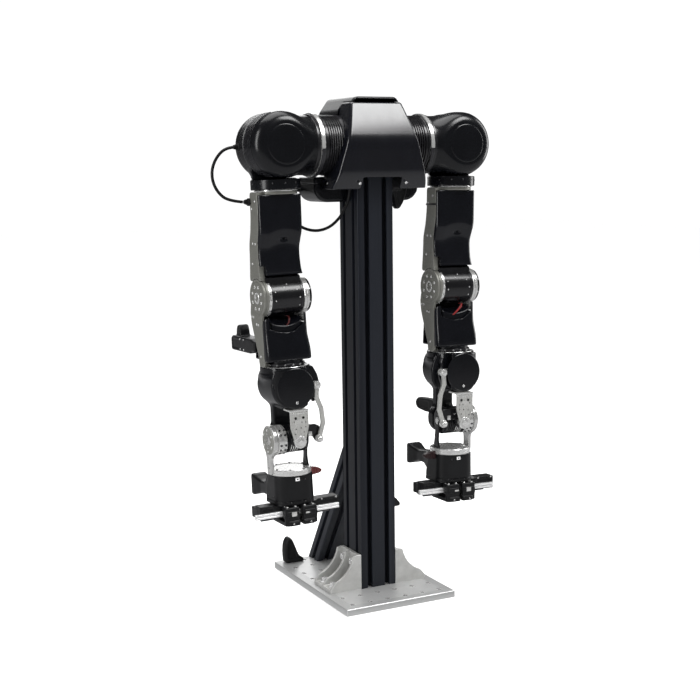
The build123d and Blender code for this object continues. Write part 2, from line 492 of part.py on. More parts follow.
beam = box(-BEAM_HALF, BEAM_HALF, -18, 16, BEAM_Z0, BEAM_Z1 - 10.0)
beam = beam + box(-BEAM_HALF, -33.5, -18, 2, BEAM_Z1 - 12, BEAM_Z1) + box(33.5, BEAM_HALF, -18, 2, BEAM_Z1 - 12, BEAM_Z1)
beam = chamfer(beam.edges().filter_by(Axis.Y).group_by(Axis.Z)[0], 2)
rail = box(-RAIL_HALF, RAIL_HALF, -23.5, -18, 145.5, 153.0)
rail = rail - box(-RAIL_HALF - 1, RAIL_HALF + 1, -24, -22, 148.2, 150.2)

def finger(sgn):
    """A carriage that rides the rail, with a flat jaw plate below the beam."""
    f = box(JAW_X, 26, -35, -18.3, 143.0, 159.4)
    f = f - box(0, 30, -23.5 - FIT, -17, 145.5 - FIT, 153.0 + FIT)
    f = f - box(0, 30, -19.5, -17, 140, 170)
    f = f + box(JAW_X, 26, -35, -30, 132, 144) + prism_xy([(JAW_X, -38), (20, -38), (26, -30), (26, 14), (20, 20), (JAW_X, 20)], 132, 138.5)
    f = soften(f, 1.5, z=(159.3, 159.5))
    f = f.solids().sort_by(SortBy.VOLUME)[-1]
    return f if sgn > 0 else mirror(f, about=Plane.YZ)


for s in (1, -1):
    arm_piece("shoulder_body", sb_s, s, 0)
    arm_piece("shoulder_ring", ring, s, 0)
    arm_piece("roll_yoke", (yk_s + gland) if s < 0 else yk_s, s)
    arm_piece("yaw_flange", flange, s)
    pl = up_plate
    if s < 0:
        pl = pl + cyl_x(4.2, -PLATE_OUT - 3.5, -PLATE_OUT, 10, 611)
    arm_piece("upper_arm_plate", pl, s, 1, False)
    arm_piece("upper_arm_cover", up_cover, s, 1, False)
    arm_piece("elbow_motor", elbow_s, s, 1, False)
    arm_piece("forearm_plate", fp, s, 1, False)
    arm_piece("elbow_band", band_s, s, 1, False)
    arm_piece("forearm_cover", fore_s, s, 1, False)
    arm_piece("wrist_housing", wh_s, s)
    arm_piece("wrist_bracket", br, s)
    arm_piece("wrist_crank", crank, s)
    arm_piece("wrist_link", lk, s)
    arm_piece("hand_motor", hm_s, s)
    arm_piece("hand_yoke", yo_s, s)
    arm_piece("gripper_body", gb, s)
    arm_piece("hand_camera", cam, s)
    arm_piece("gripper_beam", beam, s)
    arm_piece("gripper_rail", rail, s)
    arm_piece("finger_outer", finger(1), s)
    arm_piece("finger_inner", finger(-1), s)

# box on the back of the right forearm, with its upright tab
fb = box(-33, -12, 26.5, 102, 384, 407)
fb = fillet(fb.edges().filter_by(Axis.Y), 3)
fb = fb + box(-30, -15, 62, 74, 406, 424) + box(-30, -14, 24, 40, 388, 403)
fb = fb - ruled(fs, fore_sec)
arm_piece("forearm_box", fb, -1, 1, False)

# paddle on the back of the left wrist
pd_pts = [(34, 264), (34, 284), (60, 285), (76, 283), (82, 276), (82, 270), (76, 264), (60, 262)]
pd = prism_yz(pd_pts, -12, -2)
pd = soften(pd, 3.0, y=(50, 90))
arm_piece("wrist_paddle", pd, 1)


# ---------------------------------------------------------------- cables
def tube(name, pts, d):
    """Straight runs joined by tangent arcs, each as large as its runs allow."""
    P = [Vector(*p) for p in pts]
    radii = []
    for i in range(1, len(P) - 1):
        u, v = P[i] - P[i - 1], P[i + 1] - P[i]
        turn = math.radians(u.get_angle(v))
        radii.append(0.45 * min(u.length, v.length) / math.tan(turn / 2))
    line = FilletPolyline(*P, radius=radii)
    t0 = (P[1] - P[0]).normalized()
    sec = Plane(origin=P[0], z_dir=t0) * Circle(d / 2)
    t = sweep(sec, path=line)
    want = math.pi * d * d / 4 * line.length
    print(name, "length %.1f  volume ratio %.4f  smallest radius %.1f" % (line.length, t.volume / want, min(radii)),
          "radii", [round(r, 1) for r in radii])
    keep(name, t)


def arm_point(p, s=-1):
    """A point of the arm's own frame, in the frame of the whole part."""
    v = place(Vertex(*p), s, 1)
    c = v.center()
    return (c.X, c.Y, c.Z)


c0 = arm_point((-50.5, 20, 690))
c1 = arm_point((-48.8, 10, 610.6))
LOOP = [(c0[0] - 0.3, c0[1], c0[2]), (c0[0] - 15.0, c0[1], c0[2] - 0.6), (-230.0, 20.5, 676.0), (-239.0, 20.0, 658.5), (-239.5, 18.5, 640.0),
        (-232.0, 16.0, 623.0), (-218.0, 13.0, 611.5), (c1[0], c1[1], c1[2])]
tube("right_arm_cable", LOOP, CABLE_D)
DROOP = [(-88.4, 48.0, 625.5), (-99.5, 48.4, 623.5), (-109.0, 47.0, 612.5), (-111.5, 43.5, 595.5), (-105.0, 37.5, 578.5), (-91.0, 30.5, 566.5),
         (-73.0, 24.0, 562.0), (-56.0, 16.5, 566.5), (-45.0, 7.0, 578.0), (-39.5, -4.0, 592.0), (-37.0, -13.5, 607.5), (-36.5, -19.0, 625.0), (-37.5, -21.0, 643.0), (-38.5, -21.5, 657.0)]
tube("column_cable", DROOP, CABLE_D)
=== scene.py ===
import bpy, bmesh, json, math
import numpy as np
from mathutils import Matrix, Vector
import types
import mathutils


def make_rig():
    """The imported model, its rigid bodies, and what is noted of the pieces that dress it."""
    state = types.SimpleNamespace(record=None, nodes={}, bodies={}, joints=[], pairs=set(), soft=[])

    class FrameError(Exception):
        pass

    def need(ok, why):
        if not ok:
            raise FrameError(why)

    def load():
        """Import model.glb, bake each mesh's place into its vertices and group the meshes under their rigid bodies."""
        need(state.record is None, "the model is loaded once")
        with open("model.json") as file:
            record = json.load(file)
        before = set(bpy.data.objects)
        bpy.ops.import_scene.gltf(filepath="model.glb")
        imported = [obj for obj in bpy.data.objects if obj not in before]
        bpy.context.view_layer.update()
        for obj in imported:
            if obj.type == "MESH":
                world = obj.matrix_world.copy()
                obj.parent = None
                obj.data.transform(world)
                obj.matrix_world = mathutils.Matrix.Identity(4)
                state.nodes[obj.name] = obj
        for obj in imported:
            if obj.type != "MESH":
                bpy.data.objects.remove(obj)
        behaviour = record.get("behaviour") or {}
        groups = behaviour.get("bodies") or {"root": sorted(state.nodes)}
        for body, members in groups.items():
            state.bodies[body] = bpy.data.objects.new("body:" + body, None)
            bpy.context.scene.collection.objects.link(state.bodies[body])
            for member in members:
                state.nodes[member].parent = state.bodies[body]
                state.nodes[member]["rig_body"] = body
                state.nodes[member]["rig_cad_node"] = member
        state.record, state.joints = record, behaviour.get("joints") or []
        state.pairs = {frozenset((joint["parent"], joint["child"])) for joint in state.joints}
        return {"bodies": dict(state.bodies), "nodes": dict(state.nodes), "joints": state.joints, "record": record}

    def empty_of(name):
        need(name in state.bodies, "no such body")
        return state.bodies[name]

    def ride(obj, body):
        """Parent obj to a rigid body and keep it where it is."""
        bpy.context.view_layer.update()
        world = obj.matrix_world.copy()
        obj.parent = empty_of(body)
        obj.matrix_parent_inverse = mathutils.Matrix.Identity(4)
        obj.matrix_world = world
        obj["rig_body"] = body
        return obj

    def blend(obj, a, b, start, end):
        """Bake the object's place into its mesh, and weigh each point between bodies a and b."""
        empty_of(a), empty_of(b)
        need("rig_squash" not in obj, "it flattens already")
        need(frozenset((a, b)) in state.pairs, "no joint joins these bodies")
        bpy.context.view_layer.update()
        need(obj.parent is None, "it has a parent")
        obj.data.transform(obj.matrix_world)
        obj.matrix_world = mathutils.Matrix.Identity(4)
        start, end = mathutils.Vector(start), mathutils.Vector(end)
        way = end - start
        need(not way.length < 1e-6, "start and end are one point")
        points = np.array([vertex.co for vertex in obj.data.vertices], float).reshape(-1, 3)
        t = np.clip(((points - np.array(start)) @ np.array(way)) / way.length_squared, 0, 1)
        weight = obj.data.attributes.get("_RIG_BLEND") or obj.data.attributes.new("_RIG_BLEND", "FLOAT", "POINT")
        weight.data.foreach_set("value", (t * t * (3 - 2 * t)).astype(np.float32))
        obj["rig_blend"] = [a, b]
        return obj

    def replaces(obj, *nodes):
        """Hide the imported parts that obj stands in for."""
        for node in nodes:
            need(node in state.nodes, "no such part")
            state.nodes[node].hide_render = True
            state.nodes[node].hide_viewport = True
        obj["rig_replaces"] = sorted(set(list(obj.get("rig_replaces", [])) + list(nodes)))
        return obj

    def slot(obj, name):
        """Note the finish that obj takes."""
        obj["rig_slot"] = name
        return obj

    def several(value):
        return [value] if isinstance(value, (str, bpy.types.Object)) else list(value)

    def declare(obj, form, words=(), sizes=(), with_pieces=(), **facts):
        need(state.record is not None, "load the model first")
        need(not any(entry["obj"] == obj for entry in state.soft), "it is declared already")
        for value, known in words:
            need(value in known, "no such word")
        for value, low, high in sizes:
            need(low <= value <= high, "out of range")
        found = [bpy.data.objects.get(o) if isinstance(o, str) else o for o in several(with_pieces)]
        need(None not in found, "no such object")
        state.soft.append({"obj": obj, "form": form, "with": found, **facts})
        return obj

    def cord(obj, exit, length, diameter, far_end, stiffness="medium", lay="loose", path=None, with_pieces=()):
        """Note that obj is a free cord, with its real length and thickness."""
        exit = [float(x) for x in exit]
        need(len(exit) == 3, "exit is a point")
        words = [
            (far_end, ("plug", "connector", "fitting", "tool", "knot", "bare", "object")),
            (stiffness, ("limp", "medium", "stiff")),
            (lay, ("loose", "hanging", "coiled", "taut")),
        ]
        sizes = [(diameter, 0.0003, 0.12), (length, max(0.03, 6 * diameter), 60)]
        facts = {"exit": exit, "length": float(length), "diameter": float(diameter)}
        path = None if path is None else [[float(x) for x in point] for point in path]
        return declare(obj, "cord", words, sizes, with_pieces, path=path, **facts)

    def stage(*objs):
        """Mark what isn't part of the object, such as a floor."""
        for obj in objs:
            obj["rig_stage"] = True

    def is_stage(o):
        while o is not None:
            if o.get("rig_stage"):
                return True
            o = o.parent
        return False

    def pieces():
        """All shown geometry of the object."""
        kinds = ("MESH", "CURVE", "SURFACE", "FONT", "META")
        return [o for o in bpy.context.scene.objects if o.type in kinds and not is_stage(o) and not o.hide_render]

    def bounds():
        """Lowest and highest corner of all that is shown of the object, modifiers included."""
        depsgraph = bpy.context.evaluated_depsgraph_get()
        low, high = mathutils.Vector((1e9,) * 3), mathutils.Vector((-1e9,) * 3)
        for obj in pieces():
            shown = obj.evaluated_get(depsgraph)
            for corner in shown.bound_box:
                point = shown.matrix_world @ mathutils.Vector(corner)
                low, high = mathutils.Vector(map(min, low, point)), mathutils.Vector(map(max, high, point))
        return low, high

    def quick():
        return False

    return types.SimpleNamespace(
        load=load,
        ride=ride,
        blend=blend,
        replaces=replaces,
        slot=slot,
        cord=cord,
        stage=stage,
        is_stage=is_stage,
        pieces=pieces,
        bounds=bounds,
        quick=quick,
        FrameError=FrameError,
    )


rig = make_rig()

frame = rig.load()
N = frame["nodes"]
CAD_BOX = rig.bounds()
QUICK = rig.quick()

# ------------------------------------------------------------------ frame of the arms (mm)
ARM_X, SH_Z, TILT, LEAN = 150.3, 690.0, 1.24, 1.5
ELB_Z, WR_Z, WM_Z, RO_Z, HP_Y, LINK_R = 470.0, 368.4, 338.0, 258.0, -6.0, 34.0
T = Matrix.Translation


def arm_matrix(s, level=1, mirrored=False):
    m = T((s * ARM_X, 0, 0))
    if level:
        m = T((s * ARM_X, 0, SH_Z)) @ Matrix.Rotation(math.radians(s * TILT), 4, "Y") @ T((-s * ARM_X, 0, -SH_Z)) @ m
    m = T((0, 0, SH_Z)) @ Matrix.Rotation(math.radians(-LEAN), 4, "X") @ T((0, 0, -SH_Z)) @ m
    if mirrored:
        m = m @ Matrix.Diagonal((-1, 1, 1, 1))
    return m


ROOT = Matrix.Identity(4)

# ------------------------------------------------------------------ geometry: (vertices, faces) in mm


def join(parts):
    vs, fs, n = [], [], 0
    for v, f in parts:
        v = np.asarray(v, float)
        vs.append(v)
        fs.extend([tuple(i + n for i in face) for face in f])
        n += len(v)
    return np.concatenate(vs), fs


def moved(geo, m):
    v, f = geo
    a = np.array(m, float)
    v = np.asarray(v, float) @ a[:3, :3].T + a[:3, 3]
    if np.linalg.det(a[:3, :3]) < 0:
        f = [tuple(reversed(face)) for face in f]
    return v, f


AXIS = {"z": Matrix.Identity(4), "x": Matrix.Rotation(math.radians(90), 4, "Y"), "y": Matrix.Rotation(math.radians(-90), 4, "X")}


def lathe(profile, axis="z", at=(0, 0, 0), seg=96, closed=False, hexes=(), turn=0.0):
    """Turns (radius, height) points about an axis.  hexes: indices of rings that are hexagons."""
    vs, rings = [], []
    for k, (r, t) in enumerate(profile):
        if r < 1e-6:
            rings.append([len(vs)])
            vs.append((0, 0, t))
            continue
        ring = []
        for i in range(seg):
            a = 2 * math.pi * i / seg + turn
            q = r
            if k in hexes:
                q = r / math.cos((a % (math.pi / 3)) - math.pi / 6)
            ring.append(len(vs))
            vs.append((q * math.cos(a), q * math.sin(a), t))
        rings.append(ring)
    fs = []
    pairs = list(zip(rings[:-1], rings[1:]))
    if closed:
        pairs.append((rings[-1], rings[0]))
    for a, b in pairs:
        for i in range(seg):
            j = (i + 1) % seg
            if len(a) == 1 and len(b) == 1:
                continue
            if len(a) == 1:
                fs.append((a[0], b[j], b[i]))
            elif len(b) == 1:
                fs.append((a[i], a[j], b[0]))
            else:
                fs.append((a[i], a[j], b[j], b[i]))
    v, f = np.array(vs, float), fs
    g = moved((v, f), T(at) @ AXIS[axis])
    return outward(g)


def outward(g):
    v, f = g
    vol = 0.0
    for face in f:
        a = v[face[0]]
        for i in range(1, len(face) - 1):
            vol += float(np.dot(a, np.cross(v[face[i]], v[face[i + 1]])))
    if vol < 0:
        f = [tuple(reversed(x)) for x in f]
    return v, f


def rod(r, a, b, axis="z", at=(0, 0), c=0.6, seg=72, bore=0.0):
    """A turned piece with broken edges, from a to b along its axis; at is its place across the axis."""
    pos = {"z": (at[0], at[1], 0), "x": (0, at[0], at[1]), "y": (at[0], 0, at[1])}[axis]
    lo, hi = min(a, b), max(a, b)
    c = min(c, (hi - lo) * 0.45, r * 0.45)
    k = 0.3 * c
    out = [(r - c, lo), (r - k, lo + k), (r, lo + c), (r, hi - c), (r - k, hi - k), (r - c, hi)]
    if bore > 0:
        pr = [(bore, lo)] + out + [(bore, hi)]
        return lathe(pr, axis, pos, seg, closed=True)
    return lathe([(0, lo)] + out + [(0, hi)], axis, pos, seg)


def bm_geo(bm):
    bm.verts.ensure_lookup_table()
    bmesh.ops.recalc_face_normals(bm, faces=bm.faces)
    bm.verts.index_update()
    g = (np.array([v.co for v in bm.verts], float).reshape(-1, 3), [tuple(v.index for v in f.verts) for f in bm.faces])
    bm.free()
    return outward(g)


def bevelled(bm, width, segs=2, angle=28):
    if width > 0:
        bm.edges.ensure_lookup_table()
        bm.normal_update()
        e = [x for x in bm.edges if len(x.link_faces) == 2 and x.calc_face_angle(0) > math.radians(angle)]
        if e:
            bmesh.ops.bevel(bm, geom=e, offset=width, segments=segs, profile=0.5, affect="EDGES", clamp_overlap=True)
    return bm_geo(bm)


def block(x0, x1, y0, y1, z0, z1, r=0.6, segs=2):
    bm = bmesh.new()
    bmesh.ops.create_cube(bm, size=1.0)
    for v in bm.verts:
        v.co = Vector(((x0 + x1) / 2 + v.co.x * (x1 - x0), (y0 + y1) / 2 + v.co.y * (y1 - y0), (z0 + z1) / 2 + v.co.z * (z1 - z0)))
    return bevelled(bm, r, segs)


def prism(pts, axis, a, b, r=0.5, segs=2, angle=28, holes=()):
    """Closed outline made solid along an axis.  Outline points are (y, z) for x, (x, z) for y and (x, y) for z."""
    bm = bmesh.new()

    def P(p, t):
        return {"x": (t, p[0], p[1]), "y": (p[0], t, p[1]), "z": (p[0], p[1], t)}[axis]
    lo = [bm.verts.new(P(p, a)) for p in pts]
    hi = [bm.verts.new(P(p, b)) for p in pts]
    n = len(pts)
    for i in range(n):
        bm.faces.new((lo[i], lo[(i + 1) % n], hi[(i + 1) % n], hi[i]))
    bm.faces.new(lo)
    bm.faces.new(hi)
    bmesh.ops.recalc_face_normals(bm, faces=bm.faces)
    return bevelled(bm, r, segs, angle)


def rounded(pts, r, n=5):
    """Rounds each corner of a closed outline."""
    out = []
    m = len(pts)
    for i in range(m):
        p0, p, p1 = np.array(pts[i - 1], float), np.array(pts[i], float), np.array(pts[(i + 1) % m], float)
        a, b = p0 - p, p1 - p
        la, lb = np.linalg.norm(a), np.linalg.norm(b)
        rr = min(r, la * 0.45, lb * 0.45)
        a, b = a / la * rr, b / lb * rr
        for k in range(n + 1):
            t = k / n
            out.append(tuple((1 - t) ** 2 * (p + a) + 2 * t * (1 - t) * p + t * t * (p + b)))
    return out


def toward(pos, d):
    """Matrix that takes +Z to direction d at pos."""
    return T(pos) @ Vector((0, 0, 1)).rotation_difference(Vector(d)).to_matrix().to_4x4()


def screw(r=2.6, h=1.6, style="socket", seg=24):
    """Head only, its seat at z = 0."""
    if style == "button":
        pr = [(0, h - 0.9), (r * 0.42, h - 0.9), (r * 0.42, h - 0.02), (r * 0.60, h), (r * 0.82, h * 0.80), (r * 0.97, h * 0.42), (r, 0.0), (r * 0.9, -0.35), (0, -0.35)]
        return lathe(pr, seg=seg, hexes=(1, 2))
    if style == "flat":
        pr = [(0, h * 0.35), (r * 0.50, h * 0.35), (r * 0.52, h * 0.96), (r * 0.90, h), (r, h * 0.72), (r, -0.3), (0, -0.3)]
        return lathe(pr, seg=seg, hexes=(1, 2))
    pr = [(0, h * 0.35), (r * 0.52, h * 0.35), (r * 0.52, h * 0.97), (r * 0.58, h), (r * 0.86, h), (r, h - r * 0.14), (r, -0.3), (0, -0.3)]
    return lathe(pr, seg=seg, hexes=(1, 2))


def screws(places, r=2.6, h=1.6, style="socket", seg=24):
    """places: (position, direction) pairs."""
    s = screw(r, h, style, seg)
    return join([moved(s, toward(p, d) @ Matrix.Rotation(0.7 * i, 4, "Z")) for i, (p, d) in enumerate(places)])


# ------------------------------------------------------------------ smooth solids from distance fields
def length(*a):
    return np.sqrt(sum(x * x for x in a))


def sd_round(a, b, r):
    """Two distances joined as the inside of both, with an edge of radius r."""
    a, b = a + r, b + r
    return length(np.maximum(a, 0), np.maximum(b, 0)) + np.minimum(np.maximum(a, b), 0) - r


def s_box(P, x0, x1, y0, y1, z0, z1, r=1.0):
    x, y, z = P
    dx = np.abs(x - (x0 + x1) / 2) - (x1 - x0) / 2 + r
    dy = np.abs(y - (y0 + y1) / 2) - (y1 - y0) / 2 + r
    dz = np.abs(z - (z0 + z1) / 2) - (z1 - z0) / 2 + r
    return length(np.maximum(dx, 0), np.maximum(dy, 0), np.maximum(dz, 0)) + np.minimum(np.maximum(dx, np.maximum(dy, dz)), 0) - r


def s_cyl(P, axis, R, a, b, c=(0, 0), r=1.0):
    x, y, z = P
    if axis == "x":
        d, t = length(y - c[0], z - c[1]), x
    elif axis == "y":
        d, t = length(x - c[0], z - c[1]), y
    else:
        d, t = length(x - c[0], y - c[1]), z
    return sd_round(d - R, np.abs(t - (a + b) / 2) - abs(b - a) / 2, r)


def s_poly(u, v, pts):
    pts = [np.array(p, float) for p in pts]
    d = np.full(np.shape(u), 1e18)
    sgn = np.ones(np.shape(u))
    n = len(pts)
    for i in range(n):
        a, b = pts[i], pts[i - 1]
        ex, ey = b[0] - a[0], b[1] - a[1]
        wx, wy = u - a[0], v - a[1]
        t = np.clip((wx * ex + wy * ey) / (ex * ex + ey * ey), 0, 1)
        d = np.minimum(d, (wx - ex * t) ** 2 + (wy - ey * t) ** 2)
        c1, c2, c3 = v >= a[1], v < b[1], ex * wy > ey * wx
        flip = (c1 & c2 & c3) | (~c1 & ~c2 & ~c3)
        sgn = np.where(flip, -sgn, sgn)
    return sgn * np.sqrt(d)


def s_prism(P, axis, pts, a, b, r=1.0):
    x, y, z = P
    u, v, t = {"x": (y, z, x), "y": (x, z, y), "z": (x, y, z)}[axis]
    return sd_round(s_poly(u, v, pts), np.abs(t - (a + b) / 2) - abs(b - a) / 2, r)


def smin(a, b, k):
    h = np.clip(0.5 + 0.5 * (b - a) / k, 0, 1)
    return b * (1 - h) + a * h - k * h * (1 - h)


def smax(a, b, k):
    return -smin(-a, -b, k)


def curve(t, knots):
    """Smooth value of a table of (t, value): monotone pieces joined without a kink."""
    ts = np.array([k[0] for k in knots], float)
    vs = np.array([k[1] for k in knots], float)
    d = np.diff(vs) / np.diff(ts)
    m = np.zeros(len(ts))
    m[0], m[-1] = d[0], d[-1]
    for i in range(1, len(ts) - 1):
        m[i] = 0.0 if d[i - 1] * d[i] <= 0 else 2 * d[i - 1] * d[i] / (d[i - 1] + d[i])
    t = np.clip(t, ts[0], ts[-1])
    i = np.clip(np.searchsorted(ts, t, side="right") - 1, 0, len(ts) - 2)
    h = ts[i + 1] - ts[i]
    q = (t - ts[i]) / h
    q2, q3 = q * q, q * q * q
    return (2 * q3 - 3 * q2 + 1) * vs[i] + (q3 - 2 * q2 + q) * h * m[i] + (-2 * q3 + 3 * q2) * vs[i + 1] + (q3 - q2) * h * m[i + 1]


def nets(f, lo, hi, h):
    """Surface of the field f(x, y, z) < 0 inside a box, as quads."""
    if QUICK:
        h = h * 1.5
    lo, hi = np.array(lo, float) - 2.3 * h, np.array(hi, float) + 2.3 * h
    n = np.ceil((hi - lo) / h).astype(int) + 1
    ax = [lo[a] + h * np.arange(n[a]) for a in range(3)]
    X, Y, Z = np.meshgrid(*ax, indexing="ij")
    D = np.asarray(f((X, Y, Z)), float)
    D[D == 0] = 1e-9
    for a in range(3):
        e = [slice(None)] * 3
        for k in (0, -1):
            e[a] = k
            D[tuple(e)] = np.maximum(D[tuple(e)], 0.1)
    shape = tuple(n - 1)
    acc = np.zeros(shape + (3,))
    cnt = np.zeros(shape)
    quads = []
    for a in range(3):
        s0, s1 = [slice(None)] * 3, [slice(None)] * 3
        s0[a], s1[a] = slice(0, -1), slice(1, None)
        A, B = D[tuple(s0)], D[tuple(s1)]
        cross = (A < 0) != (B < 0)
        I = np.argwhere(cross)
        va, vb = A[cross], B[cross]
        p = I.astype(float)
        p[:, a] += va / (va - vb)
        u, v = (a + 1) % 3, (a + 2) % 3
        ids = []
        for du, dv in ((-1, -1), (0, -1), (0, 0), (-1, 0)):
            c = I.copy()
            c[:, u] += du
            c[:, v] += dv
            k = (c[:, 0], c[:, 1], c[:, 2])
            np.add.at(acc, k, p)
            np.add.at(cnt, k, 1)
            ids.append(np.ravel_multi_index(k, shape))
        q = np.stack(ids, 1)
        back = va > 0
        q[back] = q[back][:, ::-1]
        quads.append(q)
    q = np.concatenate(quads)
    used = np.flatnonzero(cnt.ravel() > 0)
    new = np.full(cnt.size, -1)
    new[used] = np.arange(len(used))
    V = lo + h * (acc.reshape(-1, 3)[used] / cnt.ravel()[used][:, None])
    e = 0.2 * h
    for _ in range(3):
        x, y, z = V[:, 0], V[:, 1], V[:, 2]
        d = f((x, y, z))
        g = np.stack([f((x + e, y, z)) - f((x - e, y, z)), f((x, y + e, z)) - f((x, y - e, z)), f((x, y, z + e)) - f((x, y, z - e))], 1) / (2 * e)
        gg = np.maximum((g * g).sum(1), 0.2)
        V = V - np.clip(d, -0.6 * h, 0.6 * h)[:, None] * g / gg[:, None]
    return V, [tuple(r) for r in new[q].tolist()]


# ------------------------------------------------------------------ objects
def add(name, geo, m, material, body, replaces=(), slot=None, smooth=True, auto=None, bevel=0.0):
    v, f = moved(geo, m)
    me = bpy.data.meshes.new(name)
    me.from_pydata((v * 0.001).tolist(), [], f)
    me.validate()
    ob = bpy.data.objects.new(name, me)
    bpy.context.scene.collection.objects.link(ob)
    me.polygons.foreach_set("use_smooth", [smooth] * len(me.polygons))
    if auto:
        me.set_sharp_from_angle(angle=math.radians(auto))
    me.materials.append(material)
    me.update()
    if body:
        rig.ride(ob, body)
    if replaces:
        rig.replaces(ob, *replaces)
    if slot:
        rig.slot(ob, slot)
    return ob


SIDE = {1: "left", -1: "right"}


def arm(name, geo, material, body, node=None, slot=None, level=1, handed=True, sides=(1, -1), auto=35):
    """The same piece on both arms; handed pieces are mirror images."""
    out = []
    for s in sides:
        p = SIDE[s] + "_"
        nodes = [] if node is None else [p + n for n in ([node] if isinstance(node, str) else node)]
        out.append(add(p + name, geo, arm_matrix(s, level, handed and s < 0), material, p + body, nodes, slot, auto=auto))
    return out


def dress(node, material, bevel=0.35, angle=32, segs=2):
    """A CAD node keeps its mesh and gets its finish and broken edges."""
    ob = N[node]
    ob.data.materials.clear()
    ob.data.materials.append(material)
    if bevel > 0:
        w = ob.modifiers.new("weld", "WELD")
        w.merge_threshold = 0.00001
        b = ob.modifiers.new("edges", "BEVEL")
        b.width = bevel * 0.001
        b.segments = segs
        b.limit_method = "ANGLE"
        b.angle_limit = math.radians(angle)
        b.harden_normals = False
        b.use_clamp_overlap = True
        n = ob.modifiers.new("normals", "WEIGHTED_NORMAL")
        n.keep_sharp = False
        n.weight = 80
    return ob


# ------------------------------------------------------------------ materials
def surface(name, color, metallic=0.0, rough=0.4, spec=0.5, coat=0.0, coat_rough=0.1, cvar=0.12, cscale=25.0, rvar=0.06, rscale=70.0,
            bump=0.15, bscale=900.0, bdist=0.00008, stretch=(1, 1, 1), aniso=0.0, tint=None, wear=0.0, wear_color=(0.25, 0.25, 0.25), lines=0.0, lscale=900.0, smudge=0.0):
    m = bpy.data.materials.new(name)
    m.use_nodes = True
    nt = m.node_tree
    nd, lk = nt.nodes, nt.links
    bs = nd["Principled BSDF"]
    bs.inputs["Metallic"].default_value = metallic
    bs.inputs["Specular IOR Level"].default_value = spec
    bs.inputs["Coat Weight"].default_value = coat
    bs.inputs["Coat Roughness"].default_value = coat_rough
    bs.inputs["Anisotropic"].default_value = aniso
    tc = nd.new("ShaderNodeTexCoord")
    mp = nd.new("ShaderNodeMapping")
    mp.inputs["Scale"].default_value = stretch
    lk.new(tc.outputs["Object"], mp.inputs["Vector"])
    n1 = nd.new("ShaderNodeTexNoise")
    n1.inputs["Scale"].default_value = cscale
    n1.inputs["Detail"].default_value = 5
    n1.inputs["Roughness"].default_value = 0.6
    lk.new(mp.outputs["Vector"], n1.inputs["Vector"])
    mx = nd.new("ShaderNodeMix")
    mx.data_type = "RGBA"
    c = Vector(color)
    t = Vector(tint) if tint else Vector((1, 1, 1))
    mx.inputs["A"].default_value = (*(c * (1 - cvar)), 1)
    mx.inputs["B"].default_value = (c[0] * (1 + cvar) * t[0], c[1] * (1 + cvar) * t[1], c[2] * (1 + cvar) * t[2], 1)
    rmp = nd.new("ShaderNodeMapRange")
    rmp.inputs["From Min"].default_value = 0.35
    rmp.inputs["From Max"].default_value = 0.65
    lk.new(n1.outputs["Fac"], rmp.inputs["Value"])
    lk.new(rmp.outputs["Result"], mx.inputs["Factor"])
    col = mx.outputs["Result"]
    if wear > 0:
        geo = nd.new("ShaderNodeNewGeometry")
        wr = nd.new("ShaderNodeMapRange")
        wr.inputs["From Min"].default_value = 0.53
        wr.inputs["From Max"].default_value = 0.62
        wr.inputs["To Max"].default_value = wear
        lk.new(geo.outputs["Pointiness"], wr.inputs["Value"])
        m2 = nd.new("ShaderNodeMix")
        m2.data_type = "RGBA"
        m2.inputs["B"].default_value = (*wear_color, 1)
        lk.new(col, m2.inputs["A"])
        lk.new(wr.outputs["Result"], m2.inputs["Factor"])
        col = m2.outputs["Result"]
    lk.new(col, bs.inputs["Base Color"])
    n2 = nd.new("ShaderNodeTexNoise")
    n2.inputs["Scale"].default_value = rscale
    n2.inputs["Detail"].default_value = 6
    n2.inputs["Roughness"].default_value = 0.65
    lk.new(mp.outputs["Vector"], n2.inputs["Vector"])
    r2 = nd.new("ShaderNodeMapRange")
    r2.inputs["From Min"].default_value = 0.3
    r2.inputs["From Max"].default_value = 0.7
    r2.inputs["To Min"].default_value = max(0.03, rough - rvar)
    r2.inputs["To Max"].default_value = min(1.0, rough + rvar)
    lk.new(n2.outputs["Fac"], r2.inputs["Value"])
    lk.new(r2.outputs["Result"], bs.inputs["Roughness"])
    n3 = nd.new("ShaderNodeTexNoise")
    n3.inputs["Scale"].default_value = bscale
    n3.inputs["Detail"].default_value = 3
    lk.new(mp.outputs["Vector"], n3.inputs["Vector"])
    bp = nd.new("ShaderNodeBump")
    bp.inputs["Strength"].default_value = bump
    bp.inputs["Distance"].default_value = bdist
    lk.new(n3.outputs["Fac"], bp.inputs["Height"])
    lk.new(bp.outputs["Normal"], bs.inputs["Normal"])
    return m


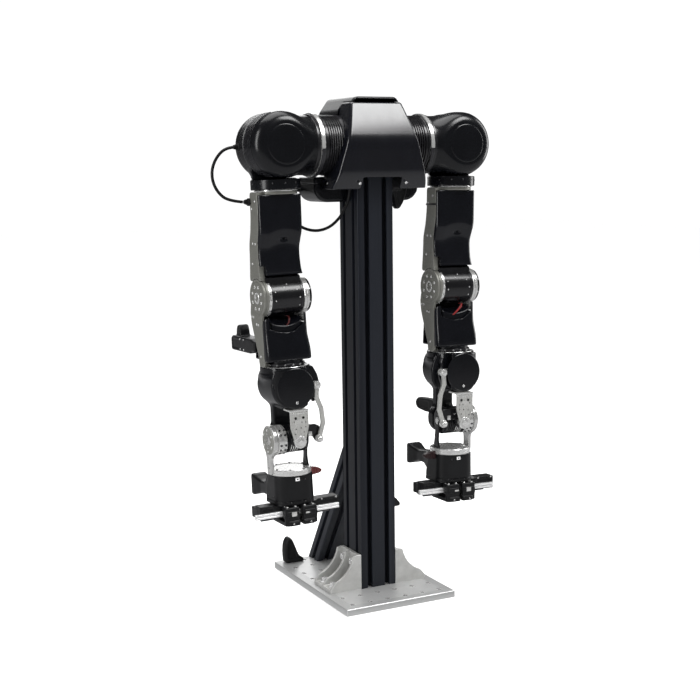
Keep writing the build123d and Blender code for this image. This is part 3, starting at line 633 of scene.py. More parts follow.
M = {}
M["plate"] = surface("brushed_plate", (0.36, 0.365, 0.36), 0.6, 0.34, stretch=(1.0, 14.0, 14.0), cscale=70, cvar=0.08, rvar=0.07, rscale=90, bump=0.12, bscale=260, bdist=0.00005, aniso=0.4, wear=0.5, wear_color=(0.9, 0.9, 0.9))
M["cast"] = surface("cast_aluminium", (0.52, 0.52, 0.505), 0.55, 0.40, cscale=90, cvar=0.07, rscale=220, rvar=0.06, bump=0.20, bscale=1500, bdist=0.00008, wear=0.6, wear_color=(0.92, 0.92, 0.91))
M["steel"] = surface("fastener_steel", (0.78, 0.78, 0.78), 0.6, 0.24, cscale=300, cvar=0.10, bump=0.05)
M["darksteel"] = surface("dark_fastener", (0.08, 0.08, 0.085), 1.0, 0.32, cscale=300, cvar=0.15, bump=0.05, wear=0.5, wear_color=(0.4, 0.4, 0.4))
M["profile"] = surface("black_profile", (0.00372, 0.00484, 0.00837), 0.0, 0.40, spec=0.32, stretch=(1.0, 1.0, 0.04), cscale=300, cvar=0.12, rscale=300, rvar=0.04, bump=0.05, bscale=900, bdist=0.00003, wear=0.15, wear_color=(0.07, 0.08, 0.10))
M["rubber"] = surface("black_rubber", (0.00480, 0.00480, 0.00540), 0.0, 0.50, spec=0.35, cscale=60, bump=0.15, bscale=1100)
M["metal"] = surface("black_metal", (0.00405, 0.00405, 0.00495), 0.0, 0.25, spec=0.62, cscale=60, rvar=0.025, rscale=40, bump=0.025, bscale=900, bdist=0.00004, wear=0.15, wear_color=(0.07, 0.07, 0.08))
M["gloss"] = surface("black_gloss", (0.00250, 0.00280, 0.00425), 0.0, 0.19, spec=0.50, cscale=30, rvar=0.02, rscale=30, bump=0.018, bscale=300, bdist=0.00004)
M["torso"] = surface("black_satin_cover", (0.00225, 0.00260, 0.00475), 0.0, 0.22, spec=0.85, cscale=40, rvar=0.02, rscale=60, bump=0.02, bscale=900, bdist=0.00003, stretch=(1.0, 1.0, 0.2))
M["satin"] = surface("black_satin", (0.00252, 0.00279, 0.00383), 0.0, 0.23, spec=0.46, cscale=30, rvar=0.02, rscale=30, bump=0.02, bscale=600, bdist=0.00003)
M["moulded"] = surface("black_moulded", (0.00400, 0.00415, 0.00490), 0.0, 0.38, spec=0.40, cscale=60, rvar=0.04, bump=0.12, bscale=1700, bdist=0.00005)
M["silver"] = surface("machined_silver", (0.60, 0.60, 0.59), 0.75, 0.22, cscale=120, cvar=0.05, rscale=200, rvar=0.05, bump=0.05, bscale=900, wear=0.6, wear_color=(0.95, 0.95, 0.95))
M["turned"] = surface("turned_silver", (0.74, 0.74, 0.73), 0.75, 0.21, cscale=120, cvar=0.04, rscale=200, rvar=0.04, bump=0.03, bscale=700)
M["grey"] = surface("grey_plate", (0.165, 0.165, 0.148), 0.5, 0.42, cscale=700, cvar=0.18, rscale=600, rvar=0.07, bump=0.18, bscale=2000, bdist=0.00006, wear=0.6, wear_color=(0.55, 0.55, 0.53))
M["sheet"] = surface("sheet_silver", (0.52, 0.52, 0.50), 0.65, 0.28, cscale=160, cvar=0.06, stretch=(1, 1, 0.15), rscale=240, rvar=0.05, bump=0.06, bscale=700, wear=0.6, wear_color=(0.95, 0.95, 0.95))
M["rail"] = surface("ground_rail", (0.85, 0.85, 0.85), 0.6, 0.17, stretch=(0.1, 1, 1), cscale=900, cvar=0.06, rscale=900, rvar=0.04, bump=0.05, bscale=1200)
M["jacket"] = surface("cable_jacket", (0.00420, 0.00420, 0.00450), 0.0, 0.40, spec=0.4, cscale=90, rvar=0.03, bump=0.03, bscale=700, bdist=0.00003)
M["red"] = surface("red_insulation", (0.22, 0.010, 0.010), 0.0, 0.35, cscale=120, bump=0.05)
M["darkred"] = surface("connector_red", (0.085, 0.012, 0.011), 0.0, 0.42, cscale=90, cvar=0.25, bump=0.15, bscale=900)
M["plugdark"] = surface("connector_dark", (0.020, 0.006, 0.007), 0.0, 0.42, cscale=90, cvar=0.25, bump=0.15, bscale=900)
M["white"] = surface("white_inlay", (0.72, 0.72, 0.72), 0.0, 0.45, cscale=90, cvar=0.05, bump=0.05)
M["dark"] = surface("dark_interior", (0.00400, 0.00400, 0.00450), 0.0, 0.6, spec=0.25, cscale=90, bump=0.1)
M["lens"] = surface("lens_black", (0.004, 0.004, 0.006), 0.0, 0.06, spec=0.8, coat=0.6, cscale=90, bump=0.0)

# ------------------------------------------------------------------ camera, floor and light
def look(name, at, to, size, power, size_y=None, color=(1, 1, 1)):
    d = bpy.data.lights.new(name, "AREA")
    d.shape = "RECTANGLE"
    d.size = size
    d.size_y = size_y or size
    d.energy = power
    d.color = color
    o = bpy.data.objects.new(name, d)
    o.location = at
    o.rotation_euler = (Vector(to) - Vector(at)).to_track_quat("-Z", "Y").to_euler()
    bpy.context.scene.collection.objects.link(o)
    return o


yaw, pitch, roll = math.radians(26.72), math.radians(8.20), math.radians(-0.72)
fw = Vector((math.sin(yaw) * math.cos(pitch), math.cos(yaw) * math.cos(pitch), -math.sin(pitch)))
rt = Vector((math.cos(yaw), -math.sin(yaw), 0))
up = rt.cross(fw)
r2 = rt * math.cos(roll) + up * math.sin(roll)
u2 = -rt * math.sin(roll) + up * math.cos(roll)
cam = bpy.data.cameras.new("camera")
cam.lens = 66.14
cam.sensor_width = 36.0
cam.clip_end = 60.0
cob = bpy.data.objects.new("camera", cam)
bpy.context.scene.collection.objects.link(cob)
mw = Matrix((r2.to_4d(), u2.to_4d(), (-fw).to_4d(), (0, 0, 0, 1))).transposed()
mw[3] = (0, 0, 0, 1)
mw.translation = Vector((-0.905, -1.738, 0.661))
cob.matrix_world = mw
bpy.context.scene.camera = cob

fm = surface("studio_floor", (0.93, 0.93, 0.93), 0.0, 0.8, spec=0.05, cscale=3, cvar=0.004, bump=0.0)
fnt = fm.node_tree                       # the pale floor shows darker in reflections than to the eye, like a flag under the set
fcol = fnt.nodes["Principled BSDF"].inputs["Base Color"].links[0].from_socket
fmx = fnt.nodes.new("ShaderNodeMix")
fmx.data_type = "RGBA"
fmx.inputs["B"].default_value = (0.16, 0.16, 0.165, 1)
flp = fnt.nodes.new("ShaderNodeLightPath")
fnt.links.new(flp.outputs["Is Glossy Ray"], fmx.inputs["Factor"])
fnt.links.new(fcol, fmx.inputs["A"])
fnt.links.new(fmx.outputs["Result"], fnt.nodes["Principled BSDF"].inputs["Base Color"])
fnt.nodes["Principled BSDF"].inputs["Emission Color"].default_value = (1, 1, 1, 1)
fnt.nodes["Principled BSDF"].inputs["Emission Strength"].default_value = 0.11
me = bpy.data.meshes.new("floor")
bm = bmesh.new()
bmesh.ops.create_grid(bm, x_segments=8, y_segments=8, size=1.0)
for v in bm.verts:
    v.co = Vector((1.2 + v.co.x * 7.0, 4.6 + v.co.y * 7.0, -0.0002))
bm.to_mesh(me)
bm.free()
floor = bpy.data.objects.new("floor", me)
bpy.context.scene.collection.objects.link(floor)
me.materials.append(fm)
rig.stage(floor)

w = bpy.data.worlds.new("studio")
bpy.context.scene.world = w
w.use_nodes = True
nt = w.node_tree
bg = nt.nodes["Background"]
bg.inputs["Color"].default_value = (1, 1, 1, 1)
lp = nt.nodes.new("ShaderNodeLightPath")
a = nt.nodes.new("ShaderNodeMath")
a.operation = "MULTIPLY_ADD"
a.inputs[1].default_value = -0.93
a.inputs[2].default_value = 1.0
nt.links.new(lp.outputs["Is Glossy Ray"], a.inputs[0])
b = nt.nodes.new("ShaderNodeMath")
b.operation = "MULTIPLY_ADD"
b.inputs[1].default_value = 0.06
nt.links.new(lp.outputs["Is Camera Ray"], b.inputs[0])
nt.links.new(a.outputs[0], b.inputs[2])
nt.links.new(b.outputs[0], bg.inputs["Strength"])
look("key", (0.84, -1.05, 2.27), (0.0, 0.0, 0.66), 1.15, 32, 0.80)
look("top", (-0.1, 0.25, 2.3), (0.0, 0.0, 0.4), 1.5, 22)
look("left", (-1.75, -0.35, 1.05), (0.0, 0.0, 0.50), 0.45, 13, 1.5)
look("right", (1.7, 0.1, 0.9), (0.0, 0.0, 0.50), 0.5, 10, 1.5)
look("rear", (0.3, 1.9, 1.2), (0.0, 0.0, 0.5), 1.2, 9)
s = bpy.context.scene
s.view_settings.view_transform = "Standard"
s.view_settings.look = "None"

# ------------------------------------------------------------------ CAD nodes that keep their shape
dress("base_plate", M["plate"], 0.0)
dress("base_gussets", M["cast"], 0.9, segs=3)
dress("gusset_bolts", M["steel"], 0.4)
dress("column_extrusion", M["profile"], 0.35)
dress("brace_extrusion", M["profile"], 0.35)
dress("shoulder_block", M["dark"], 0.4)
KEPT = {"shoulder_ring": "turned", "yaw_flange": "silver", "elbow_motor": "metal", "wrist_bracket": "sheet",
        "wrist_crank": "sheet", "gripper_rail": "rail"}
for p in ("left_", "right_"):
    for k, mname in KEPT.items():
        dress(p + k, M[mname], 0.5)

# ------------------------------------------------------------------ cords
def tube(points, r, seg=14):
    """A round tube along points, in mm."""
    pts = [np.array(p, float) for p in points]
    n = len(pts)
    tan = [pts[min(i + 1, n - 1)] - pts[max(i - 1, 0)] for i in range(n)]
    tan = [t / np.linalg.norm(t) for t in tan]
    ref = np.cross(tan[0], (0.13, 0.31, 0.94))
    ref /= np.linalg.norm(ref)
    vs, fs = [], []
    for i in range(n):
        ref = ref - tan[i] * np.dot(ref, tan[i])
        ref /= np.linalg.norm(ref)
        b = np.cross(tan[i], ref)
        for k in range(seg):
            a = 2 * math.pi * k / seg
            vs.append(pts[i] + r * (math.cos(a) * ref + math.sin(a) * b))
    for i in range(n - 1):
        for k in range(seg):
            j = (k + 1) % seg
            fs.append((i * seg + k, i * seg + j, (i + 1) * seg + j, (i + 1) * seg + k))
    fs.append(tuple(reversed(range(seg))))
    fs.append(tuple((n - 1) * seg + k for k in range(seg)))
    return outward((np.array(vs), fs))


def spline(name, points, bevel=0.0, res=12):
    cu = bpy.data.curves.new(name, "CURVE")
    cu.dimensions = "3D"
    sp = cu.splines.new("NURBS")
    sp.points.add(len(points) - 1)
    for q, p in zip(sp.points, points):
        q.co = (*p, 1)
    sp.order_u = 3
    sp.use_endpoint_u = True
    cu.resolution_u = res
    cu.bevel_depth = bevel
    cu.bevel_resolution = 6
    cu.use_fill_caps = True
    ob = bpy.data.objects.new(name, cu)
    bpy.context.scene.collection.objects.link(ob)
    return ob


def along(points, res=12):
    """Points read from the NURBS line of a route, in metres."""
    ob = spline("route", points, 0.0, res)
    bpy.context.view_layer.update()
    me = bpy.data.meshes.new_from_object(ob)
    out = [tuple(v.co) for v in me.vertices]
    bpy.data.meshes.remove(me)
    bpy.data.objects.remove(ob)
    return out


def at_arm(p, s=-1):
    v = arm_matrix(s) @ Vector(p)
    return (v.x, v.y, v.z)


c0, c1 = at_arm((-50.5, 20, 690)), at_arm((-48.8, 10, 610.6))
LOOP = [(c0[0] - 0.3, c0[1], c0[2]), (c0[0] - 15.0, c0[1], c0[2] - 0.6), (-230.0, 20.5, 676.0), (-239.0, 20.0, 658.5), (-239.5, 18.5, 640.0),
        (-232.0, 16.0, 623.0), (-218.0, 13.0, 611.5), (c1[0], c1[1], c1[2])]
LOOP = [tuple(c * 0.001 for c in p) for p in LOOP]
path = along(LOOP)
ob = add("right_shoulder_cable", tube([[c * 1000 for c in p] for p in path], 2.25), ROOT, M["jacket"], None, ["right_arm_cable"], "cable_jacket")
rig.blend(ob, "right_yoke", "right_upper_arm", LOOP[0], LOOP[-1])
LEN1 = sum((Vector(a) - Vector(b)).length for a, b in zip(path[:-1], path[1:]))
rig.cord(ob, exit=LOOP[0], length=LEN1, diameter=0.0045, far_end="object", stiffness="medium", lay="loose", path=path)

DROOP = [(-88.4, 48.0, 625.5), (-99.5, 48.4, 623.5), (-109.0, 47.0, 612.5), (-111.5, 43.5, 595.5), (-105.0, 37.5, 578.5), (-91.0, 30.5, 566.5),
         (-73.0, 24.0, 562.0), (-56.0, 16.5, 566.5), (-45.0, 7.0, 578.0), (-39.5, -4.0, 592.0), (-37.0, -13.5, 607.5), (-36.5, -19.0, 625.0), (-37.5, -21.0, 643.0), (-38.5, -21.5, 657.0)]
DROOP = [tuple(c * 0.001 for c in p) for p in DROOP]
path = along(DROOP)
LEN2 = sum((Vector(a) - Vector(b)).length for a, b in zip(path[:-1], path[1:]))
ob = spline("torso_cable", DROOP, 0.00225)
ob.data.materials.append(M["jacket"])
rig.ride(ob, "root")
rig.replaces(ob, "column_cable")
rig.slot(ob, "cable_jacket")
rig.cord(ob, exit=DROOP[0], length=LEN2, diameter=0.0045, far_end="object", stiffness="medium", lay="hanging")


def relief(name, at, d, body, slot, r=4.3, h=9.0):
    """Tapered strain relief with rings, its base at the housing, pointing along d."""
    pr = [(0, -1.5), (r + 1.4, -1.5), (r + 1.4, 1.6), (r + 0.9, 2.1), (r, 2.2)]
    for i in range(3):
        t = 2.6 + i * (h - 3.0) / 3
        q = r - i * (r - 2.6) / 3.4
        pr += [(q, t), (q, t + 1.0), (q - 0.7, t + 1.2), (q - 0.7, t + 1.7)]
    pr += [(2.7, h - 0.4), (2.3, h), (0, h)]
    return add(name, moved(lathe(pr, seg=32), toward(at, d)), ROOT, M["rubber"], body, (), slot, auto=40)


relief("right_loop_gland_upper", tuple(np.array(c0) + (4.0, 0, 0.1)), (-1, 0, -0.03), "right_yoke", "cable_jacket")
relief("right_loop_gland_lower", tuple(np.array(c1) + (9.5, 0, -0.4)), (-1, 0.0, 0.05), "right_upper_arm", "cable_jacket", h=8.0)
relief("torso_cable_gland", (-86.5, 47.9, 625.7), (-1, 0.03, -0.16), "root", "cable_jacket", h=7.5)

# ------------------------------------------------------------------ base details
rims = []
for hx in (-75, -45, -15, 15, 45, 75):
    for hy in (-87, -54, 53, 85, 118, 151):
        if (hy >= 118 and abs(hx) < 40) or (hx == -75 and hy == 151):
            continue
        rims.append(lathe([(2.72, 7.0), (2.72, 9.9), (3.0, 10.12), (3.9, 10.14), (4.1, 10.0), (4.1, 9.6), (3.4, 7.0)], "z", (hx, hy, 0), 28, closed=True))
add("plate_hole_rims", join(rims), ROOT, M["turned"], "root", (), "brushed_plate", auto=40)
FX, FY = -68.0, 152.0
fin = rounded([(FX - 13, 9.5), (FX - 14.5, 30), (FX - 13, 44), (FX - 8.5, 52.5), (FX - 4, 53.4), (FX + 0.5, 48.5), (FX + 5, 38), (FX + 9, 27), (FX + 13, 19.5), (FX + 20, 15.5), (FX + 20, 9.5)], 6, 3)


def f_fin(P):
    x, y, z = P
    d = s_prism(P, "y", fin, FY - 9.6, FY + 7.6, 4.5)
    g = s_prism(P, "y", rounded([(FX - 8, 16), (FX - 8.5, 40), (FX - 4, 44), (FX + 2, 34), (FX + 7, 20)], 4, 2), FY - 12, FY - 8.4, 1.0)
    return smax(smax(d, -g, 1.2), 10.1 - z, 0.8)


add("rear_fin", nets(f_fin, (FX - 15, FY - 10, 9), (FX + 21, FY + 9, 55), 0.8), ROOT, M["rubber"], "root", ["corner_fin"], "black_rubber")
# bevelled clip low on the column's right face
add("column_clip", prism(rounded([(29.5, 133), (29.5, 147), (33, 147), (40.5, 138), (40.5, 134.5), (38, 133)], 2, 3), "y", -27, -13, 0.8), ROOT, M["moulded"], "root", (), "black_moulded", auto=35)
# washers under the gusset bolts
nuts = [((x, 0, 0), (0, 0, 1)) for x in ()]
add("gusset_washers", join([lathe([(3.3, 0), (6.6, 0), (6.9, 0.3), (6.9, 1.0), (6.5, 1.3), (3.3, 1.3)], "z", (x, y, 16.0), 32, closed=True) for x in (-71.5, 71.5) for y in (-15, 15)]
                                + [moved(lathe([(3.3, 0), (6.6, 0), (6.9, 0.3), (6.9, 1.0), (6.5, 1.3), (3.3, 1.3)], seg=32, closed=True), toward((sx * 36.0, y, 52), (sx, 0, 0))) for sx in (-1, 1) for y in (-15, 15)]),
    ROOT, M["steel"], "root", (), "steel_fastener", auto=40)

# ------------------------------------------------------------------ torso
def f_front(P, off=0.0):
    x, y, z = P
    n1 = -(y + 61.5) * 0.9964 - (z - 694) * 0.0846
    n2 = -(y + 61.5) * 0.921 + (z - 694) * 0.389
    t = np.clip((752 - z) / 0.921, -8, 71)
    n2 = n2 + 0.0011 * t * (t - 63.0)                  # the sloping face is a little crowned
    n3 = -(y + 57.0) * 0.832 - (z - 641) * 0.555
    front = smax(smax(n1, n2, 5.0), n3, 6)
    w = 42.6 + 0.286 * (752.0 - z)
    side = (np.abs(x) - w) * 0.961
    d = sd_round(front, side, 4.2)
    return sd_round(d, z - 752.0, 3.0)


def f_front_shell(P):
    x, y, z = P
    o = f_front(P)
    d = np.maximum(o, -(o + 3.0))
    d = smax(d, y + 6.2, 0.6)
    d = smax(d, 625.0 - z, 1.6)
    d = smax(d, -s_cyl(P, "x", 44.6, -120, 120, (0, SH_Z), 0), 1.2)
    return smax(d, -s_box(P, -32.5, 32.5, -90, 10, 600, 642, 2.5), 1.6)


add("torso_front_shell", nets(f_front_shell, (-80, -65, 624), (80, -5.5, 753), 1.15), ROOT, M["torso"], "root", ["torso_front_cover"], "black_gloss")
PROF = rounded([(-50, 644), (50, 644), (50, 738), (34, 760), (-34, 760), (-50, 738)], 5, 3)
PIN = [(-47, 600), (47, 600), (47, 736.8), (32.6, 757), (-32.6, 757), (-47, 736.8)]


def f_rear(P):
    x, y, z = P
    o = s_prism(P, "y", PROF, -36, 60, 4.0)
    d = np.maximum(o, -s_prism(P, "y", PIN, -40, 57, 0))
    d = smax(d, -s_box(P, -70, 70, -60, -5.6, 560, 752.6, 0), 0.8)
    return smax(d, -s_cyl(P, "x", 44.6, -120, 120, (0, SH_Z), 0), 1.2)


add("torso_rear_shell", nets(f_rear, (-51, -37, 643), (51, 61, 761), 1.15), ROOT, M["satin"], "root", ["torso_rear_cover"], "black_moulded")
LOWP = rounded([(-88, 643.5), (88, 643.5), (88, 620), (80, 610), (70, 606), (-70, 606), (-80, 610), (-88, 620)], 4, 3)


def f_low(P):
    x, y, z = P
    d = s_prism(P, "y", LOWP, -5.9, 55, 4.5)
    d = smax(d, -(np.maximum(np.abs(z - 633.0) - 0.6, -(d + 1.0))), 0.6)
    return smax(d, -s_box(P, -30.4, 30.4, -50, 30.4, 580, 670, 0), 1.2)


add("torso_lower_shell", nets(f_low, (-89, -7, 605), (89, 56, 644.5), 1.15), ROOT, M["satin"], "root", ["torso_lower_box"], "black_moulded")
LEV = rounded([(30.3, 641), (56, 641), (60, 632), (58.5, 618), (53, 604), (46.5, 594.5), (40.5, 593.5), (37, 600), (36, 611), (30.3, 621)], 5, 3)


def f_lever(P):
    x, y, z = P
    d = s_prism(P, "y", LEV, -24, -11, 4.0)
    g = s_prism(P, "y", rounded([(40, 612), (43, 600), (48, 600), (53, 614), (54, 628), (42, 630)], 3, 2), -26, -22.8, 0.8)
    b = s_box(P, 30.3, 48, -28, -8.4, 624, 641.4, 2.5)
    return smax(smin(smax(d, -g, 1.0), b, 4.0), 30.3 - x, 0.5)


add("clamp_paddle", nets(f_lever, (29.5, -29, 592), (61, -8, 642.5), 0.8), ROOT, M["moulded"], "root", ["clamp_lever"], "black_moulded")
# fasteners of the front cover
add("torso_screws", screws([((-38.5, -56.3, 633.5), (0, -0.832, -0.555)), ((38.5, -56.3, 633.5), (0, -0.832, -0.555)), ((-75.6, -24, 634.0), (-0.96, 0, 0.27)), ((75.6, -24, 634.0), (0.96, 0, 0.27))], 2.1, 1.0, "button"),
    ROOT, M["steel"], "root", (), "steel_fastener", auto=40)
add("torso_rear_screws", screws([((x, 60.0, z), (0, 1, 0)) for x, z in ((-40, 654), (40, 654), (-40, 728), (40, 728), (-28, 750), (28, 750))], 2.2, 1.1, "button"), ROOT, M["steel"], "root", (), "steel_fastener", auto=40)
add("motor_end_rings", join([rod(45.2, sx * 84.6, sx * 88.0, "x", (0, SH_Z), 0.6, 96, bore=40.0) for sx in (-1, 1)]), ROOT, M["metal"], "root", (), "black_metal", auto=35)
MP = [(0, 45.0), (43.4, 45.0), (44.0, 45.6), (44.0, 56.4)]
xx = 57.6
while xx < 82:
    MP += [(44.0, xx - 1.2), (43.7, xx - 0.95), (42.0, xx - 0.75), (42.0, xx + 0.75), (43.7, xx + 0.95), (44.0, xx + 1.2)]
    xx += 3.7
MP += [(44.0, 83.2), (44.0, 87.4), (43.4, 88.0), (0, 88.0)]
md = lathe(MP, "x", (0, 0, SH_Z), 128)
add("shoulder_motor_drums", join([md, moved(lathe(MP, "x", (0, 0, SH_Z), 128), Matrix.Translation((0, 0, 0)) @ Matrix.Rotation(math.pi, 4, Vector((0, 0, 1))))]), ROOT, M["metal"], "root", ["shoulder_motors"], "black_metal", auto=30)

# ------------------------------------------------------------------ shoulders
RZ = SH_Z
fz0 = WR_Z + 0.4


def f_shoulder(P):
    x, y, z = P
    neck = s_cyl(P, "x", 43.6, -56.0, 0, (0, RZ), 1.2)
    drum = s_cyl(P, "y", 48.0, -47.0, -0.6, (0, RZ), 19.0)
    d = smin(neck, drum, 15.0)
    # shallow saddle on top of the neck, as on the real casting
    d = smax(d, -s_cyl(P, "y", 49.3, -0.6, 90, (0, RZ), 0), 1.0)
    d = smax(d, np.abs(y) - 46.9, 0.5)
    return smax(d, y - 44.5, 1.0)


SH = nets(f_shoulder, (-57, -49, RZ - 54), (50, 45, RZ + 54), 1.25)
arm("shoulder_casting", SH, M["satin"], "shoulder", "shoulder_body", "black_satin", level=0)
def arc_band(R0, R1, a0, a1, t0, t1, n, axis, mid):
    """A strip of a ring between two angles: R0..R1 across, a0..a1 along the axis."""
    vs, fs = [], []
    for k in range(n + 1):
        t = math.radians(t0 + (t1 - t0) * k / n)
        for r, a in ((R0, a0), (R1, a0), (R1, a1), (R0, a1)):
            u, v = r * math.cos(t), r * math.sin(t)
            vs.append((mid[0] + u, a, mid[1] + v) if axis == "y" else (a, mid[0] + u, mid[1] + v))
    for k in range(n):
        for q in range(4):
            fs.append((4 * k + q, 4 * k + (q + 1) % 4, 4 * k + 4 + (q + 1) % 4, 4 * k + 4 + q))
    fs += [(3, 2, 1, 0), tuple(4 * n + q for q in range(4))]
    return outward((np.array(vs, float), fs))


ribs = []
for g in (-27.5, -23.0, -18.5, -14.0, -9.5, -5.0):        # cooling ribs on the outer half of the drum
    R = 48.0 if g > -28 else 47.5
    ribs.append(arc_band(R - 1.0, R + 0.75, g - 0.75, g + 0.75, -72, 72, 40, "y", (0, RZ)))
arm("shoulder_ribs", join(ribs), M["metal"], "shoulder", None, "black_satin", level=0, auto=35)
RX = -(ARM_X - 91.0)
# painted shade: a black band with raised ribs laid over the lower half of the silver neck ring, so the ring shows dark
# where it faces down
arm("neck_ring_sleeve", join([arc_band(46.0, 47.5, RX - 2.9, RX + 2.9, 188, 352, 60, "x", (0, RZ)),
                              arc_band(46.0, 47.9, RX - 1.9, RX - 0.5, 188, 352, 60, "x", (0, RZ)), arc_band(46.0, 47.9, RX + 0.5, RX + 1.9, 188, 352, 60, "x", (0, RZ))]), M["metal"], "shoulder", None, "black_satin", level=0, auto=35)
arm("roll_cap", lathe([(0, -47.7), (25.0, -47.7), (27.6, -47.55), (28.6, -47.2), (29.2, -46.6), (29.2, -44), (0, -44)], "y", (0, 0, RZ), 96), M["satin"], "shoulder", None, "black_satin", level=0, auto=28)
arm("neck_collar", lathe([(42.0, -56.2), (45.0, -56.2), (45.4, -55.6), (45.4, -51.2), (44.9, -50.6), (42.0, -50.4)], "x", (0, 0, RZ), 96, closed=True), M["metal"], "shoulder", None, "black_satin", level=0, auto=35)
arm("neck_ring_screws", screws([((-(ARM_X - 93.6), 45.4 * math.cos(t), RZ + 45.4 * math.sin(t)), (0, math.cos(t), math.sin(t))) for t in [math.radians(15 + 30 * i) for i in range(12)]], 0.9, 0.5, "flat", 12),
    M["darksteel"], "shoulder", None, "machined_silver", level=0, auto=40)

prof = [(0, 0.6), (47.2, 0.6), (48.0, 1.4), (48.0, 3.6)]
for g in (5, 9, 13, 17, 21):
    prof += [(47.8, g - 0.9), (46.8, g - 0.65), (46.8, g + 0.65), (47.8, g + 0.9)]
prof += [(48.0, 23.5), (48.0, 27.5)] + [(39.5 + 8.5 * math.cos(a), 27.5 + 8.5 * math.sin(a)) for a in [math.radians(12 * i) for i in range(1, 8)]] + [(39.0, 36.0), (22.0, 36.0), (21.2, 35.4), (0, 35.4)]
arm("roll_motor", lathe(prof, "y", (0, 0, RZ), 120), M["metal"], "yoke", "roll_yoke", "black_satin", auto=30)


def f_yoke(P):
    x, y, z = P
    drum = s_cyl(P, "y", 46.6, 2.2, 27.0, (0, RZ), 3.0)
    col = s_cyl(P, "z", 36.7, 626.2, 641.2, (0, 0), 1.2)
    low = s_cyl(P, "z", 33.5, 629.0, 652.0, (0, 0), 1.6)
    d = smin(drum, smin(col, low, 4.0), 17.0)
    d = smax(d, -s_box(P, -90, 90, -90, 2.2, 641.2, 820, 0), 1.0)
    d = smax(d, -s_cyl(P, "x", 47.4, -120, -12.0, (0, RZ), 0), 1.2)
    d = smax(d, z - (RZ - 4.0), 1.0)
    d = smax(d, -s_cyl(P, "z", 33.2, 600, 629.2, (0, 0), 0), 0.4)
    return smax(smax(d, 626.2 - z, 0.6), y - 36.9, 0.5)


arm("roll_casting", nets(f_yoke, (-50, -38, 625.5), (50, 38, RZ - 3), 1.15), M["satin"], "yoke", None, "black_satin")
arm("roll_casting_screws", screws([((36.4 * math.cos(t), 36.4 * math.sin(t), 635.3), (math.cos(t), math.sin(t), 0)) for t in [math.radians(a) for a in (-150, -120, -90, -60, -30, 0, 30)]], 1.3, 0.7, "button", 16),
    M["darksteel"], "yoke", None, "steel_fastener", auto=40)
arm("yaw_flange_bolts", join([screws([((30.9 * math.cos(t), 30.9 * math.sin(t), 626.7), (math.cos(t), math.sin(t), 0)) for t in [math.radians(30 * i + 10) for i in range(12)]], 1.5, 0.9, "socket", 16)]),
    M["darksteel"], "yoke", None, "steel_fastener", auto=40)
arm("yaw_flange_rim", lathe([(29.5, 624.5), (31.9, 624.5), (32.2, 624.8), (32.2, 625.3), (31.8, 625.6), (29.5, 625.6)], "z", (0, 0, 0), 96, closed=True), M["turned"], "yoke", None, "machined_silver", auto=35)

# ------------------------------------------------------------------ upper arm
def rbox2(u, v, u0, u1, v0, v1, r):
    du, dv = np.abs(u - (u0 + u1) / 2) - (u1 - u0) / 2 + r, np.abs(v - (v0 + v1) / 2) - (v1 - v0) / 2 + r
    return length(np.maximum(du, 0), np.maximum(dv, 0)) + np.minimum(np.maximum(du, dv), 0) - r


UP_F = [(494, 24), (505, 18), (520, 12.5), (540, 11), (555, 12.5), (572, 17.5), (590, 18.5), (624, 18.5)]


def upper_section(P, off):
    x, y, z = P
    q = z + 5.5 * np.clip((x - 1.0) / 24.0, -1, 1) ** 2 * np.clip((z - 520) / 25.0, 0, 1)
    yf = curve(q, [(503, 21.0), (507, 19.6), (514, 18.2), (524, 17.0), (537, 16.2), (548, 16.8), (558, 20.2), (570, 23.6), (582, 24.2), (619.3, 24.2)])
    yr = curve(z, [(503, 22.5), (525, 21.3), (548, 20.8), (570, 22.0), (619.3, 22.0)])
    xr = curve(z, [(503, 29.4), (508, 28.8), (518, 28.2), (535, 28.0), (552, 28.6), (572, 30.4), (619.3, 31.0)])
    o = rbox2(x, y, -38.3 + off, xr - off, -yf + off, yr - off, max(1.0, 7.0 - off)) * 0.96
    # left of x -29.9 only a lip in front of the side plate is left
    gone = -29.9 - x if off > 0 else np.minimum(-29.9 - x, np.maximum(y + curve(z, UP_F) + 0.3, 517.0 - z))
    return smax(o, gone, 0.4)


def f_upper(P):
    x, y, z = P
    o = upper_section(P, 0.0)
    dent = np.sqrt(((x - 1.0) / 8.5) ** 2 + ((z - 553.5) / 3.6) ** 2 + ((y + 20.2) / 3.4) ** 2)
    d = sd_round(o, z - 619.3, 1.6)
    d = smax(d, (1.0 - dent) * 3.0, 1.2)
    d = smax(d, 503.0 - z, 1.0)
    inner = np.maximum(o + 2.6, z - 616.5)
    return smax(d, -inner, 0.8)


UP = nets(f_upper, (-39.5, -26, 502), (33, 24, 620), 1.1)
arm("upper_arm_shell", UP, M["gloss"], "upper_arm", "upper_arm_cover", "black_gloss", handed=False)
UO = [(9, 624), (9.5, 590), (13, 568), (19.5, 548), (21, 520), (24, 494), (-15, 494), (-12.5, 505), (-11.5, 520), (-11, 540), (-12.5, 555), (-17.5, 572), (-18.5, 590), (-18.5, 624)]
UO = rounded(UO, 5, 3)


def f_side(P):
    x, y, z = P
    d = s_prism(P, "x", UO, -38.5, -30.0, 1.0)
    d = smax(d, -s_cyl(P, "x", 29.0, -60, -34.2, (0, ELB_Z), 0), 0.3)
    d = np.minimum(d, s_cyl(P, "x", 28.0, -34.2, -30.0, (0, ELB_Z), 0.6))
    d = np.minimum(d, s_box(P, -34.2, -20, -18, 9, 619.5, 624, 0.5))
    d = np.minimum(d, s_cyl(P, "z", 31.0, 619.5, 624, (0, 0), 0.6))
    return smax(d, -s_cyl(P, "x", 12.0, -60, 0, (0, ELB_Z), 0), 0.3)


